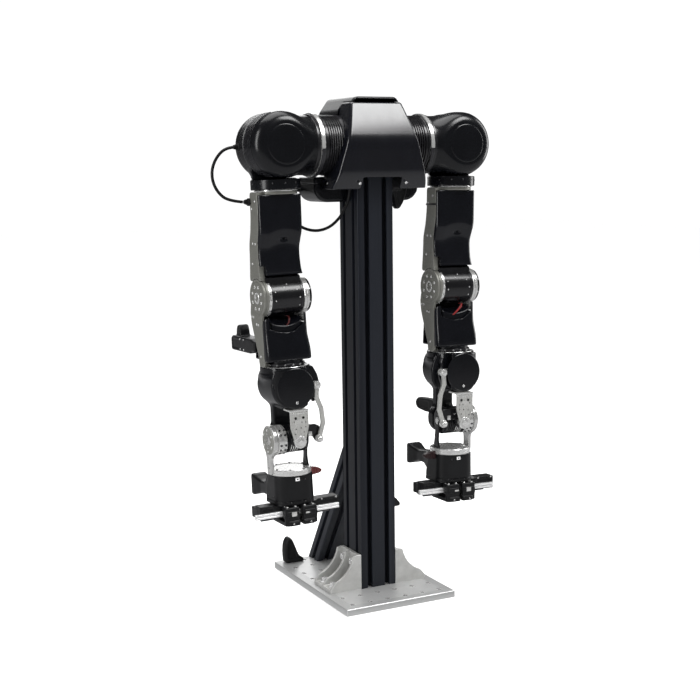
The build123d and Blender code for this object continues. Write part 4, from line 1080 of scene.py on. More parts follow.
arm("upper_arm_side", nets(f_side, (-39.5, -32, 446), (32, 32, 625), 1.0), M["grey"], "upper_arm", "upper_arm_plate", "grey_plate", handed=False)
arm("yaw_stub", rod(8.0, 623.5, 635.0, "z", (0, 0), 0.5, 48), M["steel"], "upper_arm", None, "grey_plate", handed=False, auto=35)
FL = [(-25, 462), (25.5, 462), (29, 446), (26, 430), (18, 411), (10.5, 393), (5.5, 381), (4, fz0), (-14, fz0), (-15, 395), (-13, 420), (-13, 440), (-18, 452)]


def f_fside(P):
    x, y, z = P
    d = np.minimum(s_prism(P, "x", rounded(FL, 5, 3), -38.5, -34.6, 0.8), s_cyl(P, "x", 28.0, -38.5, -34.6, (0, ELB_Z), 0.8))
    d = np.minimum(d, s_box(P, -38.5, -26, -10, 3.5, fz0, fz0 + 4.2, 0.6))
    d = np.minimum(d, s_cyl(P, "x", 11.8, -35.5, -30.4, (0, ELB_Z), 0.3))
    g = length(y, z - ELB_Z)
    d = smax(d, -np.maximum(np.abs(g - 24.2) - 0.5, x + 37.9), 0.3)
    return smax(d, -s_cyl(P, "z", 9.05, 360, 380, (0, 0), 0), 0.3)


arm("forearm_side", nets(f_fside, (-39.5, -31, fz0 - 1), (31, 32, 505), 0.95), M["grey"], "forearm", "forearm_plate", "grey_plate", handed=False)
arm("forearm_foot", lathe([(9.05, fz0), (29.4, fz0), (30.0, fz0 + 0.6), (30.0, fz0 + 3.6), (29.4, fz0 + 4.2), (9.05, fz0 + 4.2)], "z", (0, 0, 0), 96, closed=True), M["metal"], "forearm", None, "grey_plate", handed=False, auto=35)
PO = -38.5
arm("upper_plate_screws", screws([((PO, y, z), (-1, 0, 0)) for y, z in ((-4.0, 549.0), (5.5, 549.5), (-10, 611), (3, 600), (9.5, 520.0))], 1.7, 0.8, "button", 18), M["steel"], "upper_arm", None, "steel_fastener", handed=False, auto=40)
# turned silver ring with its dark screw holes between plate and elbow motor
arm("elbow_ring", join([lathe([(24.0, -30.0), (27.6, -30.0), (27.9, -29.6), (27.9, -28.7), (27.4, -28.4), (27.4, -27.6), (27.9, -27.3), (27.9, -26.2), (27.5, -25.8), (24.0, -25.8)], "x", (0, 0, ELB_Z), 96, closed=True)]),
    M["turned"], "upper_arm", None, "machined_silver", handed=False, auto=30)
arm("elbow_ring_screws", screws([((-27.9, 27.35 * math.cos(t), ELB_Z + 27.35 * math.sin(t)), (0, math.cos(t), math.sin(t))) for t in [math.radians(18 * i + 5) for i in range(20)]], 1.0, 0.55, "flat", 12), M["darksteel"], "upper_arm", None, "steel_fastener", handed=False, auto=40)
arm("elbow_motor_screws", screws([((xx, 25.4 * math.cos(t), ELB_Z + 25.4 * math.sin(t)), (0, math.cos(t), math.sin(t))) for xx, t in [(-19, math.radians(-170)), (-4, math.radians(-215)), (2, math.radians(-228)), (15.5, math.radians(-205)), (19.5, math.radians(-178)), (19.5, math.radians(-150)), (-19, math.radians(-200))]], 1.0, 0.5, "button", 14),
    M["steel"], "upper_arm", None, "steel_fastener", handed=False, auto=40)
arm("elbow_motor_bands", join([lathe([(24.8, a), (25.95, a), (26.15, a + 0.25), (26.15, b - 0.25), (25.95, b), (24.8, b)], "x", (0, 0, ELB_Z), 96, closed=True) for a, b in ((-25.6, -22.6), (22.2, 25.9))]), M["metal"], "upper_arm", None, "black_metal", handed=False, auto=35)

# elbow band and its cap, on the forearm
arm("elbow_side_ring", join([lathe([(9.9, 9.0), (9.9, 26.5), (26.4, 26.5), (27.0, 27.0), (27.0, 30.0), (26.6, 30.3), (26.6, 30.8), (27.0, 31.1), (27.0, 34.0), (26.5, 34.5), (0, 34.5), (0, 9.0)], "x", (0, 0, ELB_Z), 96),
                             prism([(-13, 462), (13, 462), (15, 446), (15, 432), (-15, 432), (-15, 446)], "x", 26.5, 30.0, 0.8)]), M["silver"], "forearm", "elbow_band", "machined_silver", handed=False, auto=30)
arm("elbow_side_cap", lathe([(0, 34.4), (25.2, 34.4), (25.9, 35.0), (25.9, 36.6), (25.2, 38.2), (23.6, 39.1), (21.0, 39.4), (0, 39.4)], "x", (0, 0, ELB_Z), 96), M["satin"], "forearm", None, "black_satin", handed=False, auto=25)
arm("elbow_cap_screws", screws([((35.8, 25.7 * math.cos(t), ELB_Z + 25.7 * math.sin(t)), (0, math.cos(t), math.sin(t))) for t in [math.radians(45 * i + 20) for i in range(8)]], 1.1, 0.5, "flat", 14), M["steel"], "forearm", None, "steel_fastener", handed=False, auto=40)
X8 = -38.5
arm("elbow_disc_bolts", screws([((X8, 17 * math.cos(t), ELB_Z + 17 * math.sin(t)), (-1, 0, 0)) for t in [math.radians(45 * i + 22.5) for i in range(8)]], 2.3, 1.3, "button", 20), M["turned"], "forearm", None, "steel_fastener", handed=False, auto=40)
arm("elbow_disc_hub", join([lathe([(6.2, X8 - 0.9), (8.2, X8 - 0.9), (8.6, X8 - 0.5), (8.6, X8 + 0.5), (6.0, X8 + 0.5), (6.0, X8 - 0.6)], "x", (0, 0, ELB_Z), 48, closed=True),
                            screws([((X8, 9.0 * math.cos(t) * 0.42, ELB_Z + 9.0 * math.sin(t) * 0.42), (-1, 0, 0)) for t in [math.radians(120 * i) for i in range(3)]], 1.2, 0.8, "button", 14)]), M["silver"], "forearm", None, "machined_silver", handed=False, auto=35)
arm("forearm_plate_screws", screws([((X8, y, z), (-1, 0, 0)) for y, z in ((17.0, 441.0), (23.0, 441.5), (0.5, 430.5), (6.5, 431.0), (-3.5, 384.0))], 1.7, 0.8, "button", 18), M["steel"], "forearm", None, "steel_fastener", handed=False, auto=40)
arm("forearm_foot_screws", screws([((29.6 * math.cos(t), 29.6 * math.sin(t), 370.9), (math.cos(t), math.sin(t), 0)) for t in [math.radians(24 * i - 160) for i in range(12)]], 1.3, 0.8, "flat", 16), M["turned"], "forearm", None, "steel_fastener", handed=False, auto=40)


def fore_section(P, off):
    x, y, z = P
    xr = curve(z, [(377.2, 33.8), (384, 33.9), (394, 33.4), (404, 32.2), (418, 30.7), (448, 30.5)])
    yf = curve(z, [(377.2, 29.4), (384, 29.4), (392, 28.8), (404, 27.0), (418, 25.4), (448, 24.2)])
    yr = curve(z, [(377.2, 29.4), (392, 28.4), (414, 26.4), (448, 26.0)])
    o = rbox2(x, y, -38.3 + off, xr - off, -yf + off, yr - off, max(1.0, 9.0 - off)) * 0.97
    gone = -34.1 - x if off > 0 else np.minimum(-34.1 - x, y + 15.4)
    return smax(o, gone, 0.4)


def f_fore(P):
    x, y, z = P
    o = fore_section(P, 0.0)
    d = sd_round(o, 377.4 - z, 2.2)
    inner = np.maximum(fore_section(P, 2.8), 380.0 - z)
    d = np.minimum(d, s_cyl(P, "z", 27.5, 372.2, 380.5, (0, 0), 0.4))
    d = smax(d, -inner, 0.8)
    # front opening: a smile-shaped scoop with a raised dark rim
    low = 419.0 + 0.0095 * (x + 4.0) ** 2 + np.clip((x - 8.0) / 18.0, 0, 1) * 6.0
    cut = np.maximum(np.maximum(low - z, y - 4.0), np.abs(x + 3.0) - 27.8)
    d = smax(d, -cut, 1.6)
    d = smax(d, z - (445.5 - 0.0 * x), 1.2)
    d = smax(d, -s_cyl(P, "x", 29.4, -60, 26.2, (0, ELB_Z), 0), 1.0)
    d = smax(d, -s_cyl(P, "x", 27.5, 20, 60, (0, ELB_Z), 0), 1.0)
    d = smax(d, -s_cyl(P, "x", 36.8, -60, -29.4, (0, ELB_Z), 0), 1.0)
    return smax(d, -s_box(P, 26.1, 30.3, -15.6, 15.6, 431, 480, 0), 0.5)


FO = nets(f_fore, (-39.5, -31, 371.5), (35.5, 31, 447), 1.1)
arm("forearm_shell", FO, M["gloss"], "forearm", "forearm_cover", "black_gloss", handed=False)


def f_tray(P):
    x, y, z = P
    # inner duct seen through the opening, its front edge a second bright line
    low = 428.0 + 0.010 * (x + 4.0) ** 2
    d = s_box(P, -27.0, 23.0, -20.4, -5.0, 400, 446, 4.0)
    d = smax(d, z - low - (y + 20.4) * 0.55, 1.2)
    return smax(d, -s_cyl(P, "x", 29.4, -60, 60, (0, ELB_Z), 0), 1.0)


arm("forearm_duct", nets(f_tray, (-28, -22, 399), (24, -4, 447), 0.9), M["gloss"], "forearm", None, "black_gloss", handed=False)
wl = [tube([(-9 + k, -14.0, 423.0), (-7.5 + k, -20.5, 426.5), (-1.5 + k, -22.6 - 0.4 * k, 433.0), (6.0 + 0.6 * k, -21.6 - 0.4 * k, 440.5 - 1.1 * k), (10.0, -18.0, 443.2 - 0.6 * k), (9.0 + k, -9.0, 442.6)], 0.62, 8) for k in (0.0, 1.5)]
add("left_elbow_wires", join(wl), arm_matrix(1), M["red"], "left_forearm", (), "cable_jacket", auto=60)
wr = [tube([(-3 + k, -12.0, 424.0), (-2.5 + k, -19.0, 428.0), (-0.5 + k, -22.6, 433.0), (1.5 + k, -21.0, 438.0), (3.0 + k, -15.0, 441.3), (3.5 + k, -6.0, 441.8)], 0.5, 8) for k in (0.0, 1.4)]
add("right_elbow_wires", join(wr), arm_matrix(-1), M["darkred"], "right_forearm", (), "cable_jacket", auto=60)
# cable tie round the left side plate
add("left_plate_tie", moved(join([block(-39.3, -29.9, -19.6, 10.2, 596.6, 599.4, 0.5)]), Matrix.Identity(4)), arm_matrix(1), M["moulded"], "left_upper_arm", (), "black_moulded", auto=35)

# ------------------------------------------------------------------ wrist
def f_wrist(P):
    x, y, z = P
    cup = s_cyl(P, "z", 37.0, 351.0, WR_Z, (0, 0), 1.6)
    cone = np.maximum((length(x, y) - 37.0 + np.clip(352.0 - z, 0, 50) * 1.25) * 0.62, np.abs(z - 345) - 12)
    drum = s_cyl(P, "y", 33.0, -27.0, 34.0, (0, WM_Z), 5.0)
    d = smin(smin(cup, cone, 2.0), drum, 9.0)
    leg = np.minimum(s_box(P, -15, 15, 16.2, 30, RO_Z, 334, 2.5), s_cyl(P, "y", 22.6, 16.2, 30, (0, RO_Z), 2.5))
    leg = smin(leg, s_cyl(P, "y", 22.6, 16.2, 30, (0, RO_Z), 2.5), 6.0)
    d = smin(d, leg, 7.0)
    pad = s_box(P, -13.5, 13.5, -26, 28, 303.9, 325, 1.5)
    d = np.minimum(d, pad)
    d = smax(d, z - (WR_Z - 0.1), 1.0)
    d = smax(d, -s_box(P, -60, 6.0, -60, -27.0, 280, 372, 0), 0.6)
    d = smax(d, -27.0 - y, 0.6)
    d = smax(d, -s_box(P, -15.4, 15.4, -43, -14, 290, 306.2, 0), 0.6)
    d = smax(d, -s_box(P, -40, 40, -60, 16.0, 200, 303.0, 0), 0.6)
    d = smax(d, np.where(z < 300, np.abs(x) - 22.6, -5.0), 0.4)
    return smax(d, -s_cyl(P, "y", 8.6, 10, 27.2, (0, RO_Z), 0), 0.5)


WH = nets(f_wrist, (-39, -29, 233), (39, 36, 369.5), 1.15)
arm("wrist_casting", WH, M["satin"], "wrist", "wrist_housing", "black_satin")


def f_front(P):
    x, y, z = P
    # front half of the wrist: round outer shoulder that reaches up to the cup, cut away where the crank swings
    sh = s_cyl(P, "y", 33.0, -39.0, -27.4, (0, WM_Z), 2.6)
    neck = s_box(P, -26, 30.5, -37.0, -27.4, WM_Z, 366.5, 3.0)
    d = smin(sh, neck, 5.0)
    d = smax(d, length(x, y + 0.0) - 41.5, 1.6)
    d = smax(d, -s_box(P, -60, 6.0, -32.9, -20, 280, 380, 0), 0.8)
    d = smax(d, -28.4 - x, 1.4)
    d = smax(d, -s_box(P, -60, -18.5, -60, -32.9, 280, 380, 0), 0.8)
    d = smax(d, z - 367.0, 0.4)
    return smax(d, -s_box(P, -15.4, 15.4, -45, -14, 290, 306.3, 0), 0.6)


arm("wrist_front", nets(f_front, (-31, -40.5, 303), (35, -26, 368), 1.0), M["satin"], "wrist", None, "black_satin")
arm("wrist_front_disc", lathe([(0, -40.1), (26.6, -40.1), (28.7, -39.9), (29.5, -39.3), (29.5, -38.5), (0, -38.5)], "y", (0.8, 0, WM_Z - 0.6), 96), M["satin"], "wrist", None, "black_satin", auto=25)
arm("wrist_front_screw", screws([((0.5, -40.0, 315.5), (0, -1, 0))], 2.1, 1.1, "button", 20), M["turned"], "wrist", None, "steel_fastener", auto=40)
GD = rounded([(-30, 367), (-36, 365), (-43, 352), (-46, 338), (-45, 324), (-39, 313.5), (-34, 310.5), (-29.5, 318), (-33, 325), (-35.5, 338), (-33, 349), (-28, 358)], 4, 3)


def f_guard(P):
    x, y, z = P
    return s_prism(P, "y", GD, -22.0, -15.5, 2.2)


arm("wrist_guard", nets(f_guard, (-47, -23, 309), (-27, -14, 368), 0.8), M["satin"], "wrist", None, "black_satin")
arm("wrist_rim", join([lathe([(33.5, 368.0), (35.6, 368.0), (36.0, 367.7), (36.3, 368.1), (36.0, 368.5), (33.5, 368.5)], "z", (0, 0, 0), 96, closed=True)]), M["silver"], "wrist", None, "machined_silver", auto=35)
arm("wrist_rear_cover", join([lathe([(0, 35.4), (24.0, 35.4), (25.4, 34.9), (26.0, 33.8), (0, 33.8)], "y", (0, 0, WM_Z), 72),
                              screws([((21.5 * math.cos(t), 35.2, WM_Z + 21.5 * math.sin(t)), (0, 1, 0)) for t in [math.radians(60 * i) for i in range(6)]], 1.4, 0.8, "button", 16)]), M["metal"], "wrist", None, "black_metal", auto=30)
arm("roll_bearing_cap", join([lathe([(0, 31.2), (13.5, 31.2), (14.5, 30.6), (14.5, 29.5), (0, 29.5)], "y", (0, 0, RO_Z), 64),
                              screws([((17.8 * math.cos(t), 30.0, RO_Z + 17.8 * math.sin(t)), (0, 1, 0)) for t in [math.radians(90 * i + 45) for i in range(4)]], 1.5, 0.9, "button", 16)]), M["silver"], "wrist", None, "machined_silver", auto=30)
# pressed bracket: ribbed fold at its top and dark holes
holes = [(-9.5, 287), (-3.5, 287.5), (9.0, 289), (-9.5, 280), (-2.0, 279), (6.0, 278), (-6.5, 272.5), (7.5, 270.5)]
arm("bracket_perforations", join([lathe([(0, -44.7), (0.85, -44.7), (0.85, -43.2), (0, -43.2)], "y", (x, 0, z), 14) for x, z in holes]), M["dark"], "wrist", None, "dark_metal", auto=30)
arm("bracket_fold", join([block(-15.0, 15.0, -45.1, -41.0, 303.2, 306.0, 0.7), block(-14.6, 14.6, -44.9, -43.6, 299.6, 301.2, 0.35)]), M["turned"], "wrist", None, "sheet_silver", auto=35)
arm("bracket_holes", join([lathe([(0, -44.75), (1.9, -44.75), (1.9, -43.0), (0, -43.0)], "y", (x, 0, 294.0), 24) for x in (-6.2, 6.2)]), M["dark"], "wrist", None, "dark_metal", auto=30)
arm("bracket_eye", lathe([(6.2, -45.6), (8.9, -45.6), (9.4, -45.1), (9.4, -42.2), (6.2, -42.2)], "y", (0, 0, RO_Z), 56, closed=True), M["turned"], "wrist", None, "sheet_silver", auto=35)

# linkage heads
arm("crank_hub", join([lathe([(0, -33.3), (5.5, -33.3), (6.3, -32.8), (6.3, -31.9), (0, -31.9)], "y", (0, 0, WM_Z), 40)]), M["turned"], "crank", None, "sheet_silver", auto=30)
arm("crank_pin_head", join([lathe([(0, -41.2), (2.4, -41.2), (3.8, -40.7), (4.5, -39.6), (4.5, -38.6), (3.6, -38.2), (0, -38.2)], "y", (-LINK_R, 0, WM_Z), 40)]), M["turned"], "crank", None, "steel_fastener", auto=30)
LINE = [(-LINK_R, WM_Z), (-LINK_R + 1.2, 320.0), (-LINK_R - 5.5, 303.0), (-LINK_R - 7.5, 281.0), (-LINK_R, RO_Z)]


def f_link(P):
    x, y, z = P
    d = None
    for (x0, z0), (x1, z1) in zip(LINE[:-1], LINE[1:]):
        t = np.clip(((x - x0) * (x1 - x0) + (z - z0) * (z1 - z0)) / ((x1 - x0) ** 2 + (z1 - z0) ** 2), 0, 1)
        q = length(x - x0 - t * (x1 - x0), z - z0 - t * (z1 - z0)) - 3.3
        d = q if d is None else smin(d, q, 1.2)
    for zz in (WM_Z, RO_Z):
        d = smin(d, length(x + LINK_R, z - zz) - 5.9, 2.0)
        d = np.maximum(d, 3.3 - length(x + LINK_R, z - zz))
    return sd_round(d, np.abs(y + 36.0) - 2.0, 0.7)


arm("link_bar", nets(f_link, (-LINK_R - 12, -38.6, RO_Z - 7), (-LINK_R + 7, -33.4, WM_Z + 7), 0.6), M["sheet"], "link", "wrist_link", "sheet_silver")
arm("link_eyes", join([lathe([(3.4, -38.3), (5.6, -38.3), (6.0, -37.9), (6.0, -34.0), (5.6, -33.6), (3.4, -33.6)], "y", (-LINK_R, 0, zz), 40, closed=True) for zz in (WM_Z, RO_Z)]), M["turned"], "link", None, "sheet_silver", auto=30)

# ------------------------------------------------------------------ hand motor (roll block)
mp = [(0, -22.2), (19.0, -22.2), (20.6, -21.4), (21.0, -20.4)]
xx = -17.5
while xx < 11.5:
    mp += [(21.0, xx), (20.8, xx + 0.25), (18.6, xx + 0.35), (18.6, xx + 1.75), (20.8, xx + 1.85), (21.0, xx + 2.1)]
    xx += 3.4
mp += [(21.0, 13.5), (0, 13.5)]
arm("hand_motor_fins", lathe(mp, "x", (0, HP_Y, RO_Z), 96), M["metal"], "roll_block", "hand_motor", "black_metal", auto=30)
arm("hand_motor_clamp", join([lathe([(0, 13.3), (21.6, 13.3), (22.4, 14.0), (22.4, 18.6), (21.4, 19.0), (21.4, 20.0), (22.4, 20.4), (22.4, 26.3), (21.7, 27.0), (0, 27.0)], "x", (0, HP_Y, RO_Z), 96)]),
    M["turned"], "roll_block", None, "machined_silver", auto=30)
cl = []
for t in (-166, -146, -126, -206, -226):
    a = math.radians(t)
    for x0 in (16.2, 23.4):
        cl.append(((x0, HP_Y + 22.3 * math.cos(a), RO_Z + 22.3 * math.sin(a)), (0, math.cos(a), math.sin(a))))
arm("hand_motor_bolts", screws(cl, 1.75, 1.1, "socket", 18), M["darksteel"], "roll_block", None, "steel_fastener", auto=40)
# painted highlight: silver strips on the fin tips, only where they catch the light under the front of the motor
tips = []
for x0 in (-3.9, -0.5, 2.9, 6.3):
    seg, vs, fs = 14, [], []
    for k in range(seg + 1):
        a = math.radians(-172 + 62 * k / seg)
        for r, dx in ((20.2, -0.55), (21.35, -0.55), (21.35, 0.55), (20.2, 0.55)):
            vs.append((x0 + dx, HP_Y + r * math.cos(a), RO_Z + r * math.sin(a)))
    for k in range(seg):
        for q in range(4):
            fs.append((4 * k + q, 4 * k + (q + 1) % 4, 4 * k + 4 + (q + 1) % 4, 4 * k + 4 + q))
    fs += [(3, 2, 1, 0), tuple(4 * seg + q for q in range(4))]
    tips.append(outward((np.array(vs, float), fs)))
arm("hand_motor_fin_tips", join(tips), M["turned"], "roll_block", None, "machined_silver", auto=40)


def f_block(P):
    x, y, z = P
    tr = s_cyl(P, "y", 9.0, -31.6, -12.0, (0, RO_Z), 0.8)
    tab = s_prism(P, "y", rounded([(-38.0, 266), (-38.0, 276), (-30, 280), (4, 280), (4, 258), (-4, 252), (-8, 262), (-26, 262), (-29.6, 254), (-37, 254)], 3, 3), -32.0, -28.0, 1.2)
    back = s_box(P, -4.5, 4.5, -30, -12, 258, 278, 1.5)
    rear = s_cyl(P, "y", 8.0, 10, 26.3, (0, RO_Z), 0.8)
    return smin(smin(np.minimum(tr, rear), tab, 1.5), back, 1.5)


arm("hand_block", nets(f_block, (-40, -33, 244), (11, 27, 282), 0.8), M["metal"], "roll_block", None, "black_metal")
arm("roll_pivot", lathe([(0, -48.2), (2.2, -48.2), (2.4, -47.6), (4.4, -47.5), (5.6, -47.0), (5.9, -46.0), (5.9, -31.0), (0, -31.0)], "y", (0, 0, RO_Z), 48), M["turned"], "roll_block", None, "machined_silver", auto=30)
arm("link_ball", join([lathe([(0, -44.6), (2.2, -44.2), (3.9, -42.9), (4.9, -40.9), (4.9, -39.3), (3.8, -38.5), (2.5, -38.3), (2.5, -31.0), (0, -31.0)], "y", (-LINK_R, 0, RO_Z), 40)]), M["turned"], "roll_block", None, "steel_fastener", auto=30)
arm("link_boot", lathe([(2.6, -33.4), (4.6, -33.4), (5.2, -32.8), (5.2, -28.2), (2.6, -28.0)], "y", (-LINK_R, 0, RO_Z), 40, closed=True), M["rubber"], "roll_block", None, "black_rubber", auto=35)
arm("block_plate", join([block(-24.5, -18.5, -33.0, -31.6, 262.5, 269.5, 0.5), screws([((-11, -32.0, 271), (0, -1, 0)), ((-2.5, -32.0, 274), (0, -1, 0))], 1.3, 0.8, "button", 14)]), M["turned"], "roll_block", None, "sheet_silver", auto=35)
arm("motor_trunnions", join([rod(5.9, -27.4, -21.9, "x", (HP_Y, RO_Z), 0.5, 40), rod(6.9, 26.9, 34.2, "x", (HP_Y, RO_Z), 0.5, 40)]), M["silver"], "roll_block", None, "machined_silver", auto=35)

# ------------------------------------------------------------------ hand
AR = rounded([(HP_Y - 21, RO_Z - 2), (HP_Y + 21, RO_Z - 2), (HP_Y + 20, RO_Z - 12), (8, 232), (7, 226), (7, 206), (-9, 206), (-9, 226), (-10, 232), (HP_Y - 20, RO_Z - 12)], 4, 3)


def f_outer(P):
    x, y, z = P
    disc = s_cyl(P, "x", 23.0, 28.0, 35.0, (HP_Y, RO_Z), 1.0)
    a = s_prism(P, "x", AR, 29.0, 34.2, 1.2)
    d = smin(disc, a, 2.5)
    g = np.maximum(s_poly(y, z, rounded([(-5, 238), (3, 238), (3.5, 216), (-5.5, 216)], 2, 2)), 33.2 - x)
    d = smax(d, -g, 0.6)
    return smax(d, -s_cyl(P, "x", 7.1, 20, 40, (HP_Y, RO_Z), 0), 0.4)


arm("hand_drive_plate", nets(f_outer, (27, -31, 204), (36, 19, 282), 0.75), M["silver"], "hand", "hand_yoke", "machined_silver")
arm("hand_drive_face", join([lathe([(7.3, 35.0), (20.4, 35.0), (20.4, 35.9), (19.8, 36.3), (8.0, 36.3), (7.3, 35.8)], "x", (0, HP_Y, RO_Z), 80, closed=True)]), M["grey"], "hand", None, "machined_silver", auto=30)
arm("hand_drive_bolts", join([screws([((36.2, HP_Y + 16 * math.cos(t), RO_Z + 16 * math.sin(t)), (1, 0, 0)) for t in [math.radians(60 * i + 30) for i in range(6)]], 2.2, 1.2, "button", 20),
                              screws([((36.2, HP_Y + 10.5 * math.cos(t), RO_Z + 10.5 * math.sin(t)), (1, 0, 0)) for t in [math.radians(90 * i) for i in range(4)]], 1.3, 0.8, "button", 16),
                              screws([((34.2, y, z), (1, 0, 0)) for y, z in ((-1, 211), (-1, 243))], 1.8, 0.8, "button", 18)]), M["turned"], "hand", None, "steel_fastener", auto=40)
arm("hand_ring", lathe([(0, 205.0), (31.2, 205.0), (32.0, 205.7), (32.0, 208.4), (31.5, 208.8), (31.5, 209.5), (32.0, 209.9), (32.0, 213.2), (31.3, 214.0), (24.5, 214.0), (24.0, 213.4), (0, 213.4)], "z", (0, 0, 0), 112), M["turned"], "hand", None, "machined_silver", auto=30)
arm("hand_ring_screws", screws([((27.8 * math.cos(t), 27.8 * math.sin(t), 214.0), (0, 0, 1)) for t in [math.radians(45 * i + 22.5) for i in range(8)]], 1.7, 0.9, "button", 16), M["darksteel"], "hand", None, "steel_fastener", auto=40)


def f_inner(P):
    x, y, z = P
    eye = s_cyl(P, "x", 9.0, -27.2, -23.9, (HP_Y, RO_Z), 0.9)
    st = s_prism(P, "x", rounded([(HP_Y - 5, RO_Z), (HP_Y + 5, RO_Z), (3, 228), (7, 212), (-11, 212), (-7, 228)], 3, 2), -27.2, -23.9, 0.9)
    d = smin(eye, st, 2.0)
    foot = s_box(P, -27.2, -23.9, -9, 5, 211, 215.5, 1.2)
    return smax(smin(d, foot, 2.0), -s_cyl(P, "x", 6.1, -40, -10, (HP_Y, RO_Z), 0), 0.4)


arm("hand_inner_strut", nets(f_inner, (-28, -16, 210), (-16, 4, 268), 0.7), M["metal"], "hand", None, "black_metal")


def f_body(P):
    x, y, z = P
    hx = curve(z, [(160, 31.4), (185, 31.0), (205, 30.8)])
    rr = np.where(y < 0, 18.0, curve(z, [(160, 5.0), (180, 8.0), (205, 20.0)]))
    du, dv = np.abs(x) - hx + rr, np.abs(y) - 26.5 + rr
    o = (length(np.maximum(du, 0), np.maximum(dv, 0)) + np.minimum(np.maximum(du, dv), 0) - rr) * 0.97
    d = sd_round(o, np.abs(z - 182.5) - 22.4, 1.0)
    return smax(d, -np.maximum(np.abs(z - 166.5) - 0.5, -(o + 0.8)), 0.5)


arm("gripper_casing", nets(f_body, (-33, -32, 160), (33, 32, 205.5), 1.0), M["moulded"], "hand", "gripper_body", "black_moulded")
arm("gripper_tag", block(-3.3, 3.3, -27.2, -24.0, 196.4, 201.4, 0.5), M["white"], "hand", None, "black_moulded", auto=35)
arm("gripper_tag_mark", block(-1.5, 1.5, -27.4, -26.0, 197.9, 199.9, 0.35), M["dark"], "hand", None, "black_moulded", auto=35)
arm("gripper_casing_screws", screws([((x, -26.5, z), (0, -1, 0)) for x, z in ((-12, 197.5),)] + [((x, -26.5, 164.0), (0, -1, 0)) for x in (-11.5, 11.5)] + [((31.2, y, 172.0), (1, 0, 0)) for y in (-5, 14)], 1.4, 0.8, "button", 16), M["darksteel"], "hand", None, "steel_fastener", auto=40)


def f_plug(P):
    x, y, z = P
    a = s_prism(P, "y", rounded([(-28, 197.5), (-28, 209.5), (-38, 209.0), (-47, 206.5), (-50.5, 202.5), (-47, 199.2), (-38, 197.5)], 2.5, 3), -7.5, 2.5, 1.8)
    g = np.minimum(np.abs(x + 36.0) - 0.6, np.abs(x + 40.0) - 0.6)
    return smax(a, -np.maximum(g, -(a + 0.9)), 0.5)


plug = nets(f_plug, (-52, -9, 196), (-27, 4, 211), 0.7)
arm("hand_plug", plug, M["darkred"], "hand", None, "black_moulded", sides=(-1,))
arm("hand_plug", plug, M["plugdark"], "hand", None, "black_moulded", sides=(1,))


def camera_arm(dz):
    def f(P):
        x, y, z = P
        z = z - dz * np.clip((y - 22.0) / 30.0, 0, 1)
        xc = curve(y, [(18, -15), (40, -13), (97, -12)])
        w = curve(y, [(18, 14), (34, 12.0), (50, 9.0), (66, 8.8), (80, 11.0), (90, 12.6), (97, 13.0)])
        zb = curve(y, [(18, 172), (34, 176), (50, 180), (66, 180.5), (80, 176.5), (90, 173), (97, 172)])
        zt = curve(y, [(18, 203.5), (34, 203), (50, 201), (66, 199.5), (80, 202.5), (90, 205.4), (97, 206)])
        o = rbox2(x - xc, z, -w, w, zb, zt, 4.0) * 0.9
        d = sd_round(o, np.abs(y - 57.5) - 39.5, 1.6)
        d = smax(d, -s_cyl((x + 12.0, y, z), "y", 9.5, 94.5, 110, (0, 189), 0.5), 0.8)
        return d
    return f


for sd, nm, dz in ((1, "left", 0.0), (-1, "right", -17.0)):
    zc = 189.0 + dz
    add(nm + "_hand_camera_arm", nets(camera_arm(dz), (-31, 17, 153), (3, 98, 207), 0.95), arm_matrix(sd), M["moulded"], nm + "_hand", [nm + "_hand_camera"], "black_moulded")
    add(nm + "_hand_camera_lens", join([lathe([(0, 94.6), (4.2, 94.9), (5.6, 95.3), (6.0, 94.4), (0, 94.0)], "y", (-12, 0, zc), 48), lathe([(6.2, 93.8), (8.8, 93.8), (8.8, 96.2), (8.3, 96.7), (6.8, 96.4), (6.2, 95.4)], "y", (-12, 0, zc), 48, closed=True)]), arm_matrix(sd), M["lens"], nm + "_hand", (), "black_gloss", auto=35)
    add(nm + "_hand_camera_screws", screws([((-12 + 9.6 * sx, 97.0, zc + 13.4 * sz), (0, 1, 0)) for sx in (-1, 1) for sz in (-1, 1)], 1.2, 0.7, "button", 14), arm_matrix(sd), M["steel"], nm + "_hand", (), "steel_fastener", auto=40)

# ------------------------------------------------------------------ gripper
B0, B1 = -59.0, 71.0


def f_beam(P):
    x, y, z = P
    ol = rounded([(B0, 142.5), (B1, 142.5), (B1, 163), (37, 163), (33, 160.5), (-33, 160.5), (-37, 163), (B0, 163)], 1.6, 3)
    d = s_prism(P, "y", ol, -18.0, 2.0, 1.3)
    d = smin(d, s_box(P, B0, B1, -10, 16, 142.5, 159, 1.6), 1.5)
    sl = s_box(P, -55, -39, -19, -16.6, 155.0, 160.0, 1.0)
    sr = s_box(P, 39, 66, -19, -16.6, 155.0, 160.0, 1.0)
    return smax(smax(d, -sl, 0.5), -sr, 0.5)


arm("gripper_bar", nets(f_beam, (-60, -19, 142), (72, 17, 164), 1.0), M["moulded"], "hand", "gripper_beam", "black_moulded", handed=False)
arm("gripper_bar_screws", join([screws([((x, -18.0, 161.4), (0, -1, 0)) for x in (42, 66)], 1.3, 0.7, "button", 14), screws([((sx * 70.05, y, 151), (sx, 0, 0)) for sx in (1,) for y in (-12, 10)], 1.8, 0.9, "button", 16),
]), M["steel"], "hand", None, "steel_fastener", handed=False, auto=40)
arm("gripper_racks", join([block(-56, 56, -12.0, -9.0, 139.6, 143.0, 0.4), block(-56, 56, 4.0, 7.0, 139.6, 143.0, 0.4)]), M["darksteel"], "hand", None, "dark_metal", auto=35)


